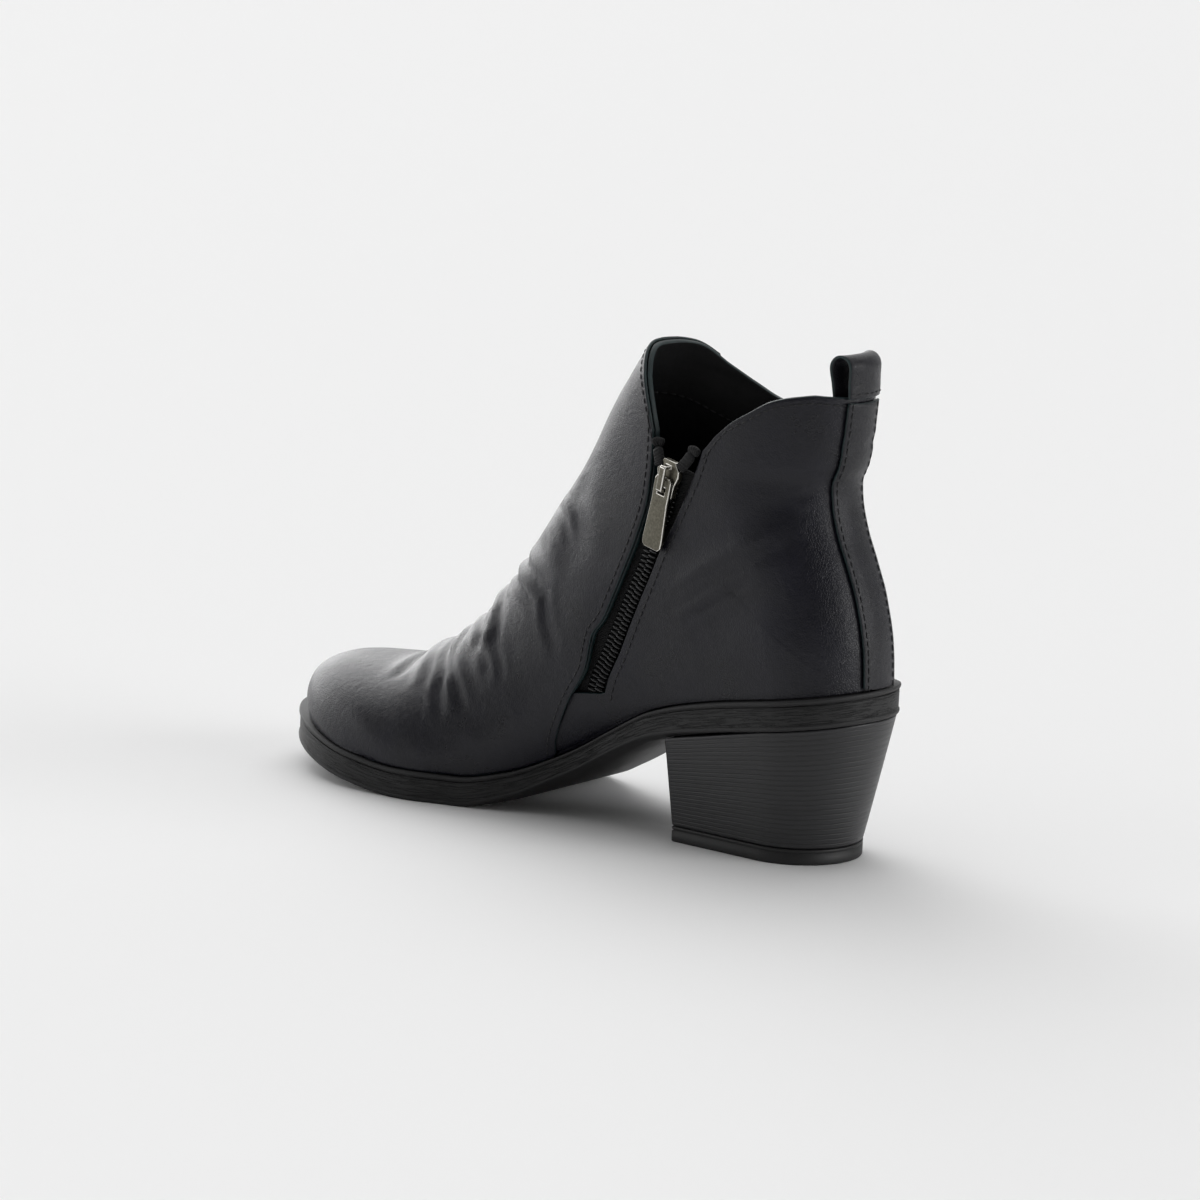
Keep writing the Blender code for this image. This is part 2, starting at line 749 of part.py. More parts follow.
def zip_side_view(up):
    """Middle of the zip seen from the side, for shares of back_height."""
    seat = float(rim(np.array(flange)))
    hind = smooth(slot_hind_edge, 1, up) * sole_length
    front = smooth(vamp_edge, 1, up) * sole_length
    from_hind = chain_width / 2 + chain_margin + zip_lean * np.clip(up - zip_lean_from, 0, 1)
    x = hind + np.minimum((front - hind) / 2, from_hind)
    return x, seat + up * back_height


def zip_band(low, high, steps, width_at, deep, shallow):
    """Two grids of a band along the zip between two depths under the form."""
    up = np.linspace(low, high, steps)
    x, z = zip_side_view(up)
    direction = np.gradient(np.stack([x, z], 1), axis=0)
    direction /= np.linalg.norm(direction, axis=1, keepdims=True)
    left, right = width_at(up)
    part = np.linspace(0, 1, 7)
    reach = left[:, None] * (1 - part) + right[:, None] * part
    grid_x = x[:, None] + direction[:, 1][:, None] * reach
    grid_z = z[:, None] - direction[:, 0][:, None] * reach
    row, across = inner_side(grid_x, grid_z)
    return skin(row, across, shallow), skin(row, across, deep)


zip_top = .70


def zip_tape():
    """Woven tape behind the opening."""
    def width_at(up):
        hind = smooth(slot_hind_edge, 1, up) * sole_length
        front = smooth(vamp_edge, 1, up) * sole_length
        x = zip_side_view(up)[0]
        return hind - x - tape_lap, front - x + tape_lap

    shallow = upper_inner - tape_gap
    outer, inner = zip_band(slot_foot - .03, zip_top, 16, width_at, shallow - tape_thickness, shallow)
    return shell("zip_tape", outer, inner, tape_cloth)


def zip_chain():
    """Closed coil chain that stands on the tape in the opening."""
    def width_at(up):
        return np.full(up.shape, -chain_width / 2), np.full(up.shape, chain_width / 2)

    deep = upper_inner - tape_gap + gap
    outer, inner = zip_band(slot_foot + .02, zip_top - .02, 16, width_at, deep, deep + chain_thickness)
    return shell("zip_chain", inner, outer, coil)


slider_up = .660

# Slider in plan: along as a share of slider_length, half width as a share of slider_width
slider_shape = [(-.50, .345), (-.15, .375), (.125, .50), (.30, .475), (.50, .275)]

# Pull tab in plan from its bar down: along as a share of tab_length, half width as a share of tab_width
tab_shape = [(.025, .335), (-.025, .42), (-.22, .42), (-.335, .41), (-.87, .50), (-.955, .485), (-1.0, .36)]


def mirrored(shape, length, width):
    """Outline of both sides from a table of one side."""
    right = [(half * width, along * length) for along, half in shape]
    return right + [(-x, y) for x, y in reversed(right)]


def slider_frame():
    """Matrix of the slider: x across the zip, y up along it, z out of the boot."""
    up = np.array([slider_up - .05, slider_up, slider_up + .05])
    x, z = zip_side_view(up)
    row, across = inner_side(x, z)
    points = skin(row, across, upper_inner - tape_gap + chain_thickness + 2 * gap)
    along = Vector(points[2] - points[0]).normalized()
    base = Vector(form(row[1], across[1]))
    side = Vector(form(row[1], across[1] + .02)) - Vector(form(row[1], across[1] - .02))
    out = side.cross(along).normalized()
    if out.y < 0:
        out = -out
    width = along.cross(out).normalized()
    frame = Matrix((width, along, out)).transposed().to_4x4()
    frame.translation = Vector(points[1]) + Vector((sole_back, 0, 0))
    return frame


def prism(work, outline, low, high, axis="z"):
    """Adds a prism over an outline to a bmesh. axis x takes the outline in y and z."""
    rings = []
    for height in (low, high):
        ring = []
        for a, b in outline:
            place = (a, b, height) if axis == "z" else (height, a, b)
            ring.append(work.verts.new(place))
        rings.append(ring)
    work.faces.new(rings[0])
    work.faces.new(list(reversed(rings[1])))
    for i in range(len(outline)):
        after = (i + 1) % len(outline)
        work.faces.new([rings[0][i], rings[0][after], rings[1][after], rings[1][i]])
    bmesh.ops.recalc_face_normals(work, faces=work.faces)


def placed(name, build, frame, finish):
    """Object of a bmesh built by a function, placed by a matrix."""
    work = bmesh.new()
    build(work)
    mesh = bpy.data.meshes.new(name)
    work.to_mesh(mesh)
    work.free()
    mesh.materials.append(finish)
    made = bpy.data.objects.new(name, mesh)
    made.matrix_world = frame
    bpy.context.scene.collection.objects.link(made)
    return made


def slider_body():
    """Slider with its bridge, standing where the zip is closed."""
    frame = slider_frame()
    plan_view = mirrored(slider_shape, slider_length, slider_width)
    under_bar = slider_thickness + bridge_gap
    over_bar = under_bar + bridge_bar
    reach = bridge_length / 2
    inside = reach - bridge_bar
    sunk = slider_thickness / 2
    arch = [
        (-reach, sunk), (-reach, over_bar - bridge_chamfer), (-reach + bridge_chamfer, over_bar),
        (reach - bridge_chamfer, over_bar), (reach, over_bar - bridge_chamfer), (reach, sunk),
        (inside, sunk), (inside, under_bar), (-inside, under_bar), (-inside, sunk),
    ]
    body = placed("slider_body", lambda work: prism(work, plan_view, 0, slider_thickness), frame, metal)
    bridge = placed(
        "bridge_guide", lambda work: prism(work, arch, -bridge_width / 2, bridge_width / 2, "x"), frame, metal)
    bridge.hide_render = True
    bridge.display_type = "WIRE"
    join = body.modifiers.new("bridge", "BOOLEAN")
    join.operation = "UNION"
    join.solver = "EXACT"
    join.object = bridge
    return body


def pull_tab():
    """Flat pull that hangs from the bridge and turns about its crossbar."""
    frame = slider_frame() @ Matrix.Translation((0, 0, slider_thickness + bridge_gap / 2))
    half = tab_thickness / 2
    window = bridge_width / 2 + tab_side_play
    window_end = bridge_length / 2 + tab_end_play
    edge = mirrored(tab_shape, tab_length, tab_width)
    hole = [(-window, -half), (window, -half), (window, -window_end), (-window, -window_end)]
    tab = placed("pull_tab", lambda work: prism(work, edge, -half, half), frame, metal)
    cutter = placed("window_cutter", lambda work: prism(work, hole, -half * 3, half * 3), frame, metal)
    cutter.hide_render = True
    cutter.display_type = "WIRE"
    cut(tab, cutter)
    return tab


outsole()
heel_block()
heel_cap()
insole()
cut(upper(), slot_cutter())
vamp()
back_strip()
pull_loop()
zip_tape()
zip_chain()
slider_body()
pull_tab()
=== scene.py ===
import bmesh
import bpy
import numpy as np
from mathutils import Matrix, Vector, noise


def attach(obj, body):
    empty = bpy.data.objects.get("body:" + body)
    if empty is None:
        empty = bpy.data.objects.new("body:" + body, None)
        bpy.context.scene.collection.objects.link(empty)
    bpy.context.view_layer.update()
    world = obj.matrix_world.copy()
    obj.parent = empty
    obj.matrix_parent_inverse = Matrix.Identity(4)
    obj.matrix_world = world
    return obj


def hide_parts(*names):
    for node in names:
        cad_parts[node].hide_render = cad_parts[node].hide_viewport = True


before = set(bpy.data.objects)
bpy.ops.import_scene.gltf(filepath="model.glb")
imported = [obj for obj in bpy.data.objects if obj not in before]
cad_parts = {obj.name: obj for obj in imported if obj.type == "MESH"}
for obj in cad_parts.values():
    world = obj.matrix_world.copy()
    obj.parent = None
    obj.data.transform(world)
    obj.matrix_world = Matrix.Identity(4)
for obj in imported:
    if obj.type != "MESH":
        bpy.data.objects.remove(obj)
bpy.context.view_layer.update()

mm = 0.001
print("frame loaded")

# Sizes of the shoe, in metres; the solids are made from the same ones.
last = {
    "soleLength": 263 * mm,
    "ballWidth": 92.4 * mm,
    "seatWidth": 65 * mm,
    "toeSwing": 10.8 * mm,
    "soleThickness": 11.5 * mm,
    "heelHeight": 56 * mm,
    "toeSpring": 10.7 * mm,
    "backHeight": 106.5 * mm,
    "upperHeight": 150 * mm,
    "flange": 1.2 * mm,
    "toeFlange": 5.7 * mm,
    "seatGap": 0.5 * mm,
    "gap": 0.3 * mm,
    "soleBack": -43.95 * mm,  # from the middle of the heel
    "quarterDepth": -1.6 * mm,  # under the outermost form, as all depths are
    "liningDepth": -3.6 * mm,
    "overlay": 1.1 * mm,
    "heelRoundTop": 44 * mm,
    "flareRise": 24 * mm,
}
soleLength = last["soleLength"]
backHeight = last["backHeight"]

# Sole from above: along, seat and ball half width inside, seat and ball half width outside
plan = [
    (0.00, .500, .000, .500, .000), (0.12, .500, .000, .500, .000), (0.25, .490, .000, .500, .000),
    (0.42, .420, .000, .482, .000), (0.55, .000, .369, .000, .430), (0.65, .000, .462, .000, .500),
    (0.71, .000, .500, .000, .496), (0.80, .000, .490, .000, .472), (0.90, .000, .452, .000, .402),
    (1.00, .000, .365, .000, .300),
]
toeFrom = 0.78
toePower = 2.2
swingTable = [(0.0, 0.0), (0.3, 0.0), (0.6, 0.2), (0.8, 0.6), (1.0, 1.0)]

# Sole from the side: along, heel lift, toe lift, thickness of the edge
profile = [
    (0.00, 1.000, .00, 1.00), (0.12, 0.904, .00, 1.00), (0.22, 0.811, .00, 0.97), (0.32, 0.673, .00, 0.85),
    (0.40, 0.464, .00, 0.74), (0.48, 0.239, .00, 0.74), (0.56, 0.066, .00, 0.86), (0.63, 0.000, .00, 1.00),
    (0.72, 0.000, .00, 1.00), (0.82, 0.000, .27, 1.00), (0.92, 0.000, .72, 1.00), (1.00, 0.000, 1.0, 1.00),
]

# Back of the upper: up, ahead
backLine = [
    (0.00, last["flange"] / soleLength), (0.12, .008), (0.30, .024), (0.42, .043), (0.52, .061),
    (0.63, .073), (0.69, .075), (0.76, .065), (0.89, .058), (1.00, .054),
]

# Sections of the upper from the toe to the leg: foot along, foot up the back, ridge along, ridge lift,
# half width inside, outside, widest place, squareness above it, below it
sections = [
    (0.800, 0.00, 0.979, 0.004, 0.468, 0.446, 0.00, 1.80, 2.0),
    (0.785, 0.00, 0.986, 0.048, 0.472, 0.452, 0.01, 1.80, 2.0),
    (0.765, 0.00, 0.970, 0.107, 0.478, 0.461, 0.04, 1.85, 2.0),
    (0.740, 0.00, 0.930, 0.155, 0.487, 0.474, 0.10, 1.95, 2.0),
    (0.705, 0.00, 0.871, 0.186, 0.494, 0.487, 0.18, 2.05, 2.0),
    (0.660, 0.00, 0.809, 0.218, 0.487, 0.492, 0.22, 2.05, 2.0),
    (0.600, 0.00, 0.746, 0.294, 0.455, 0.476, 0.24, 1.95, 2.0),
    (0.520, 0.00, 0.679, 0.395, 0.411, 0.433, 0.26, 1.90, 2.1),
    (0.430, 0.00, 0.624, 0.532, 0.373, 0.395, 0.28, 1.90, 2.2),
    (0.330, 0.00, 0.578, 0.654, 0.357, 0.368, 0.30, 1.90, 2.4),
    (0.220, 0.00, 0.540, 0.737, 0.352, 0.357, 0.33, 1.90, 2.5),
    (0.120, 0.00, 0.519, 0.785, 0.352, 0.352, 0.36, 1.95, 2.6),
    (0.055, 0.00, 0.506, 0.820, 0.350, 0.350, 0.38, 2.00, 2.6),
    (0.022, 0.00, 0.498, 0.845, 0.348, 0.348, 0.39, 2.00, 2.6),
    (0.000, 0.00, 0.492, 0.863, 0.346, 0.346, 0.40, 2.00, 2.6),
    (0.000, 0.30, 0.468, 0.917, 0.337, 0.337, 0.43, 2.00, 2.4),
    (0.000, 0.62, 0.443, 0.959, 0.330, 0.330, 0.46, 2.00, 2.2),
    (0.000, 1.00, 0.419, 0.995, 0.328, 0.328, 0.50, 2.00, 2.1),
]
heelRow = 14
lastRow = len(sections) - 1
toeBlendRows = 3
heelBlendFrom = 9
heelBlendRows = 3

# Collar from each side: ahead, up
collarInner = [
    (.052, 1.00), (.084, 1.011), (.118, 1.00), (.150, .978), (.182, .932), (.213, .885),
    (.236, .834), (.262, .772), (.346, .785), (.372, .900), (.399, 1.026), (.414, 1.082), (.430, 1.10),
]
collarOuter = [
    (.052, 1.00), (.095, .992), (.152, .945), (.209, .889), (.247, .875), (.281, .894),
    (.319, .938), (.359, .998), (.399, 1.078), (.430, 1.10),
]
# Edge of the vamp and hind edge of the zip's opening: up, ahead
vampEdge = [
    (-.46, .497), (-.37, .487), (-.26, .470), (-.165, .454), (-.055, .432), (.066, .425), (.122, .410),
    (.230, .394), (.333, .380), (.451, .365), (.554, .356), (.631, .354), (.693, .353), (.780, .354),
    (1.02, .372), (1.14, .400),
]
hindEdge = [
    (-.155, .402), (-.09, .395), (.012, .378), (.212, .350), (.303, .336), (.406, .321), (.554, .294),
    (.714, .266), (.781, .257), (.90, .245),
]
slotFoot = -.160


def smooth(table, column, x):  # monotone cubic through a table's first column and another
    xs = np.array([row[0] for row in table], float)
    ys = np.array([row[column] for row in table], float)
    steps = np.diff(xs)
    slopes = np.diff(ys) / steps
    tangents = np.zeros(len(xs))
    for i in range(1, len(xs) - 1):
        before, after = slopes[i - 1], slopes[i]
        if before * after > 0:
            early = 2 * steps[i] + steps[i - 1]
            late = steps[i] + 2 * steps[i - 1]
            tangents[i] = (early + late) / (early / before + late / after)
    tangents[0] = slopes[0]
    tangents[-1] = slopes[-1]
    x = np.clip(np.asarray(x, float), xs[0], xs[-1])
    i = np.clip(np.searchsorted(xs, x, side="right") - 1, 0, len(xs) - 2)
    t = (x - xs[i]) / steps[i]
    rise = steps[i] * (t * (1 - t) ** 2 * tangents[i] - t * t * (1 - t) * tangents[i + 1])
    return (1 + 2 * t) * (1 - t) ** 2 * ys[i] + t * t * (3 - 2 * t) * ys[i + 1] + rise


def swing(ahead):
    return last["toeSwing"] * smooth(swingTable, 1, ahead / soleLength)


def straightWidth(ahead, inner):
    column = 1 if inner else 3
    seat, ball = [smooth(plan, column + i, ahead / soleLength) for i in (0, 1)]
    return last["seatWidth"] * seat + last["ballWidth"] * ball


def halfWidth(ahead, inner, inset=0.0, toeInset=0.0):
    base = straightWidth(ahead, inner) - inset
    heelRadius = last["seatWidth"] / 2 - inset
    heel = 1 - np.clip(1 - (ahead - inset) / heelRadius, 0, 1) ** 2
    toeStart = toeFrom * soleLength
    reach = np.clip((ahead - toeStart) / (soleLength - toeInset - toeStart), 0, 1)
    return base * np.sqrt(np.clip(heel, 0, 1)) * np.sqrt(1 - reach ** toePower)


def underside(ahead):
    share = ahead / soleLength
    return last["heelHeight"] * smooth(profile, 1, share) + last["toeSpring"] * smooth(profile, 2, share)


def soleTop(ahead):
    return underside(ahead) + last["soleThickness"]


numberedSections = [(i,) + values for i, values in enumerate(sections)]
seatLevel = float(soleTop(np.array(last["flange"])))


def sectionValue(row, column):
    return smooth(numberedSections, column + 1, row)


def sectionLine(row):
    foot = sectionValue(row, 0) * soleLength + last["flange"]
    rise = sectionValue(row, 1)
    onBack = row > heelRow
    footX = np.where(onBack, smooth(backLine, 1, rise) * soleLength, foot)
    footZ = np.where(onBack, seatLevel + last["gap"] + rise * backHeight, soleTop(foot) + last["gap"])
    ridgeX = sectionValue(row, 2) * soleLength
    ridgeZ = soleTop(ridgeX) + sectionValue(row, 3) * last["upperHeight"]
    return footX, footZ, ridgeX, ridgeZ


def heelOut(x, z, width, inner):  # the heel is round in each level section
    rise = np.clip((z - seatLevel - last["gap"]) / backHeight, 0, 1)
    back = np.where(rise > 0, smooth(backLine, 1, rise) * soleLength, last["flange"])
    back = np.maximum(back, last["flange"])
    lowRound = last["seatWidth"] / 2 - last["flange"]
    reach = lowRound + (last["heelRoundTop"] - lowRound) * rise
    flare = np.clip((z - soleTop(x)) / last["flareRise"], 0, 1)
    base = straightWidth(x, inner) - last["flange"]
    full = base + (width - base) * flare * flare * (3 - 2 * flare)
    turned = 1 - np.clip((x - back) / reach, 0, 1)
    return full * np.sqrt(np.clip(1 - turned ** 2, 0, 1))


def form(row, across):  # outermost surface; across is -1 at the outer foot, 0 on the ridge, 1 inside
    row, across = np.broadcast_arrays(np.asarray(row, float), np.asarray(across, float))
    footX, footZ, ridgeX, ridgeZ = sectionLine(row)
    length = np.hypot(ridgeX - footX, ridgeZ - footZ)
    widest = sectionValue(row, 6) * length
    powerAbove = 2 / sectionValue(row, 7)
    powerBelow = 2 / sectionValue(row, 8)
    onToe = np.clip(1 - row / toeBlendRows, 0, 1) ** 2
    onHeel = np.clip((row - heelBlendFrom) / heelBlendRows, 0, 1)
    onHeel = onHeel * onHeel * (3 - 2 * onHeel)
    result = np.zeros(row.shape + (3,))
    for inner in (True, False):
        width = sectionValue(row, 4 if inner else 5) * last["ballWidth"]
        footY = np.where(row > heelRow, 0, halfWidth(footX, inner, last["flange"], last["toeFlange"]))
        footY = np.minimum(footY, width)
        end = np.pi - np.arcsin((footY / width) ** (1 / powerBelow))
        angle = np.abs(across) * end
        cosine = np.abs(np.cos(angle))
        lowEnd = np.maximum(np.abs(np.cos(end)), 1e-9)
        above = widest + (length - widest) * cosine ** powerAbove
        below = widest * (1 - (cosine / lowEnd) ** powerBelow)
        front = angle <= np.pi / 2
        up = np.where(front, above, below)
        out = width * np.abs(np.sin(angle)) ** np.where(front, powerAbove, powerBelow)
        x = footX + (ridgeX - footX) * up / length
        z = footZ + (ridgeZ - footZ) * up / length
        out = out + (halfWidth(x, inner, last["flange"], last["toeFlange"]) - out) * onToe
        out = out + (heelOut(x, z, width, inner) - out) * onHeel * (angle > np.pi / 2)
        y = swing(x) + (out if inner else -out)
        result = np.where(((across >= 0) == inner)[..., None], np.stack([x, y, z], -1), result)
    return result


# Creases: width in mm, depth in mm (below zero is a ridge), path as (section row, across)
creases = [
    (3.4, 0.9, [(5.10, .36), (5.28, .27), (5.36, .13), (5.38, 0), (5.34, -.14), (5.15, -.32)]),
    (2.6, 1.1, [(6.08, .66), (6.20, .51), (6.32, .42), (6.28, .22), (6.30, .08), (6.32, -.08), (6.25, -.3)]),
    (2.2, 0.7, [(6.56, .62), (6.56, .51), (6.48, .34), (6.60, .18), (6.72, .04)]),
    (2.4, 0.9, [(7.22, .50), (7.16, .44), (7.08, .31), (7.00, .18), (6.96, .04), (6.95, -.15), (7.1, -.34)]),
    (2.0, 0.7, [(7.40, .54), (7.44, .43), (7.52, .32)]),
    (2.2, 0.9, [(8.36, .46), (8.30, .40), (8.18, .32), (7.96, .20), (7.82, .08), (7.80, -.1), (7.95, -.3)]),
    (2.6, 1.0, [(8.40, .62), (8.48, .51), (8.60, .44), (8.48, .34), (8.24, .20), (8.12, .05), (8.15, -.2)]),
    (3.2, -1.1, [(7.10, .47), (7.14, .38), (7.32, .31), (7.42, .22), (7.44, .08), (7.40, -.12)]),
    (4.0, -0.9, [(5.72, .45), (5.80, .30), (5.82, .12), (5.80, -.1), (5.70, -.3)]),
    (8.0, 0.8, [(10.4, .20), (9.95, .34), (9.50, .50)]),
    (5.0, -0.6, [(8.95, .15), (9.05, .32), (8.95, .48)]),
    (2.0, 0.5, [(9.30, .12), (9.50, .30), (9.45, .42)]),
    (1.8, 0.5, [(9.70, .16), (9.86, .30), (9.78, .42)]),
    (2.4, 0.25, [(16.55, .86), (16.58, .93), (16.56, 1)]),
    (2.4, 0.25, [(16.55, -.86), (16.58, -.93), (16.56, -1)]),
    (2.6, 0.8, [(6.20, -.44), (6.10, -.58)]),
    (2.4, 0.8, [(8.30, -.36), (8.46, -.5), (8.4, -.62)]),
    (3.2, 0.5, [(11.4, -.74), (13.5, -.66), (15.2, -.62)]),
]
creaseScale = {"width": 0.85, "depth": 1.2}


def finePath(path):  # both columns of a path, with four places more between its points
    path = np.array(path, float)
    places = np.arange(len(path))
    fine = np.linspace(0, len(path) - 1, 5 * len(path) - 4)
    return np.interp(fine, places, path[:, 0]), np.interp(fine, places, path[:, 1])


creasePaths = []
for width, depth, path in creases:
    width *= creaseScale["width"] * mm
    depth *= creaseScale["depth"] * mm
    creasePaths.append((width, depth, form(*finePath(path))))


bank = {"share": 0.42, "away": 1.8}  # height and place of a crease's raised sides, in depths and widths


def relief(points):  # soft troughs with raised banks along the crease paths
    flat = points.reshape(-1, 3)
    total = np.zeros(len(flat))
    for width, depth, path in creasePaths:
        reach = 4 * abs(width)
        near = np.all((flat > path.min(0) - reach) & (flat < path.max(0) + reach), axis=1)
        spot = flat[near]
        best = np.full(len(spot), 1e9)
        where = np.zeros(len(spot))
        count = len(path) - 1
        for i in range(count):
            side = path[i + 1] - path[i]
            t = np.clip((spot - path[i]) @ side / (side @ side), 0, 1)
            away = np.linalg.norm(spot - path[i] - t[:, None] * side, axis=1)
            closer = away < best
            best = np.where(closer, away, best)
            where = np.where(closer, (i + t) / count, where)
        taper = np.clip(5 * where * (1 - where), 0, 1) ** 0.8
        away = best / width
        total[near] -= depth * taper * (
            np.exp(-away ** 2) - bank["share"] * np.exp(-(away - bank["away"]) ** 2))
    return total.reshape(points.shape[:-1])


ruching = {"size": 26 * mm, "depth": 0.45 * mm, "fineSize": 9 * mm, "fineDepth": 0.16 * mm}


def unevenness(points, row):  # leather is never quite smooth; the toe keeps its stiffener's shape
    flat = points.reshape(-1, 3)
    soft = [noise.noise(Vector(p / ruching["size"])) for p in flat]
    fine = [noise.noise(Vector(p / ruching["fineSize"])) for p in flat]
    amount = np.clip((row - 4.5) / 2, 0, 1) * (1 - 0.6 * np.clip((row - 9) / 3, 0, 1))
    total = np.array(soft) * ruching["depth"] + np.array(fine) * ruching["fineDepth"]
    return total.reshape(row.shape) * amount


def skin(row, across, depth, creased=True):  # surface parallel to the form, its foot kept on the sole's top
    row, across = np.broadcast_arrays(np.asarray(row, float), np.asarray(across, float))
    step = 1e-3
    rowStep = 0.03
    after, before = [np.clip(row + way * rowStep, 0, lastRow) for way in (1, -1)]
    along = form(after, across) - form(before, across)
    sideways = form(row, np.clip(across + step, -1, 1)) - form(row, np.clip(across - step, -1, 1))
    normal = np.cross(sideways, along)
    atSeam = (np.abs(across) > 1 - 1e-9) & (row >= heelRow)
    normal[..., 1] = np.where(atSeam, 0, normal[..., 1])
    normal /= np.maximum(np.linalg.norm(normal, axis=-1, keepdims=True), 1e-12)
    point = form(row, across)
    lift = np.full(row.shape, float(depth)) if np.ndim(depth) == 0 else depth
    if creased:
        lift = lift + relief(point) + unevenness(point, row)
    point = point + normal * lift[..., None]
    floor = soleTop(point[..., 0]) + last["seatGap"]
    onFeather = (row < 1e-9) | ((np.abs(across) > 1 - 1e-9) & (row <= heelRow))
    point[..., 2] = np.where(onFeather, floor, np.maximum(point[..., 2], floor))
    return point


def bisect(function, low, high, turns=36):  # where a function that is positive at low turns negative
    low = np.array(low, float)
    high = np.array(high, float)
    for _ in range(turns):
        middle = (low + high) / 2
        positive = function(middle) > 0
        low = np.where(positive, middle, low)
        high = np.where(positive, high, middle)
    return (low + high) / 2


def collarRow(across):
    across = np.asarray(across, float)

    def belowCollar(row):
        point = form(row, across)
        ahead = point[..., 0] / soleLength
        level = np.where(across >= 0, smooth(collarInner, 1, ahead), smooth(collarOuter, 1, ahead))
        return seatLevel + last["gap"] + level * backHeight - point[..., 2]

    rows = bisect(belowCollar, np.full(across.shape, float(heelRow)), np.full(across.shape, float(lastRow)))
    return np.where(np.abs(across) > 1 - 1e-9, lastRow, rows)


def vampReach(row, sign):  # how far round the vamp reaches in a section
    def aheadOfEdge(across):
        point = form(row, sign * across)
        return point[..., 0] - smooth(vampEdge, 1, (point[..., 2] - seatLevel) / backHeight) * soleLength

    return bisect(aheadOfEdge, np.zeros_like(row), np.ones_like(row))


def quarterReach(row):  # where the inner quarter ends: at the zip's opening, and at the vamp under it
    def insideQuarter(across):
        point = form(row, across)
        up = (point[..., 2] - seatLevel) / backHeight
        step = np.clip((up - slotFoot) / .016, 0, 1)
        step = step * step * (3 - 2 * step)
        edge = smooth(vampEdge, 1, up) * (1 - step) + smooth(hindEdge, 1, up) * step
        return edge * soleLength - point[..., 0]

    return bisect(insideQuarter, np.ones_like(row), np.zeros_like(row))


def onSide(x, z, sign=1):  # section row and place around of a point in the side view
    def ahead(row):
        footX, footZ, ridgeX, ridgeZ = sectionLine(row)
        return (z - footZ) * (ridgeX - footX) - (x - footX) * (ridgeZ - footZ)

    row = bisect(ahead, np.full(np.shape(x), 1.0), np.full(np.shape(x), float(lastRow)))

    def short(across):
        footX, footZ, ridgeX, ridgeZ = sectionLine(row)
        point = form(row, sign * across)
        aim = (x - footX) * (ridgeX - footX) + (z - footZ) * (ridgeZ - footZ)
        got = (point[..., 0] - footX) * (ridgeX - footX) + (point[..., 2] - footZ) * (ridgeZ - footZ)
        return got - aim

    return row, sign * bisect(short, np.zeros(np.shape(x)), np.ones(np.shape(x)))


# Fine wrinkles of the inner quarter: width and depth in mm, path as (ahead, up) in mm from the side
sideCreases = [
    (2.0, 0.40, [(79, 87.8), (67, 96), (54, 105.3), (41, 113.4), (29, 119.7)]),
    (1.9, 0.42, [(78.6, 92.8), (63, 103.7), (47, 114.5), (34, 121.3)]),
    (1.9, 0.32, [(72, 85.3), (57, 96), (42, 105)]),
    (4.5, -0.45, [(75, 98), (63, 107.5), (48, 117), (36, 124), (25, 129)]),
    (9.0, 0.7, [(68, 80), (54, 91), (40, 99), (28, 104)]),
    (1.9, 0.3, [(32, 141.7), (26.4, 143.7), (20.8, 145.1)]),
    (1.9, 0.3, [(30.6, 137.2), (25.8, 139.2), (21, 140.2)]),
]
for width, depth, path in sideCreases:
    x, z = finePath(path)
    creasePaths.append((width * mm, depth * mm, form(*onSide(x * mm, z * mm))))


def linear(code):  # sRGB hex to linear
    values = [int(code[i:i + 2], 16) / 255 for i in (1, 3, 5)]
    return tuple([v / 12.92 if v <= 0.04045 else ((v + 0.055) / 1.055) ** 2.4 for v in values] + [1.0])


def addNode(tree, kind, output=None, sockets=None, **settings):  # a new node, or one output of it
    node = tree.nodes.new(kind)
    for name, value in settings.items():
        setattr(node, name, value)
    for name, value in (sockets or {}).items():
        if isinstance(value, bpy.types.NodeSocket):
            tree.links.new(value, node.inputs[name])
        else:
            node.inputs[name].default_value = value
    return node.outputs[output] if output else node


def maths(tree, operation, *values):
    return addNode(tree, "ShaderNodeMath", "Value", dict(enumerate(values)), operation=operation)


def speckle(tree, where, scale, detail, **more):
    sockets = {"Vector": where, "Scale": scale, "Detail": detail, **more}
    return addNode(tree, "ShaderNodeTexNoise", "Fac", sockets)


def bandPlace(tree, along, up):  # the uv map round a piece and up it, stretched
    uv = addNode(tree, "ShaderNodeUVMap", "UV", uv_map="band")
    return addNode(tree, "ShaderNodeVectorMath", "Vector", {0: uv, 1: (along, up, 0.0)}, operation="MULTIPLY")


def ramp(tree, factor, *stops):  # colour ramp from (place, value or hex)
    node = addNode(tree, "ShaderNodeValToRGB", None, {"Fac": factor})
    for element, (place, value) in zip(node.color_ramp.elements, stops):
        element.position = place
        element.color = linear(value) if isinstance(value, str) else (value, value, value, 1)
    return node.outputs["Color"]


def newMaterial(name, **constants):  # a surface with its plain values set
    made = bpy.data.materials.new(name)
    made.use_nodes = True
    shader = made.node_tree.nodes["Principled BSDF"]
    for socket, value in constants.items():
        shader.inputs[socket.replace("_", " ")].default_value = value
    return made, made.node_tree


def finishMaterial(made, colour, height, strength, distance, gloss=None):  # joins colour, bump and gloss up
    tree = made.node_tree
    shader = tree.nodes["Principled BSDF"]
    bump = {"Height": height, "Strength": strength, "Distance": distance}
    tree.links.new(addNode(tree, "ShaderNodeBump", "Normal", bump), shader.inputs["Normal"])
    tree.links.new(colour, shader.inputs["Base Color"])
    if gloss is not None:
        tree.links.new(gloss, shader.inputs["Roughness"])
    return made


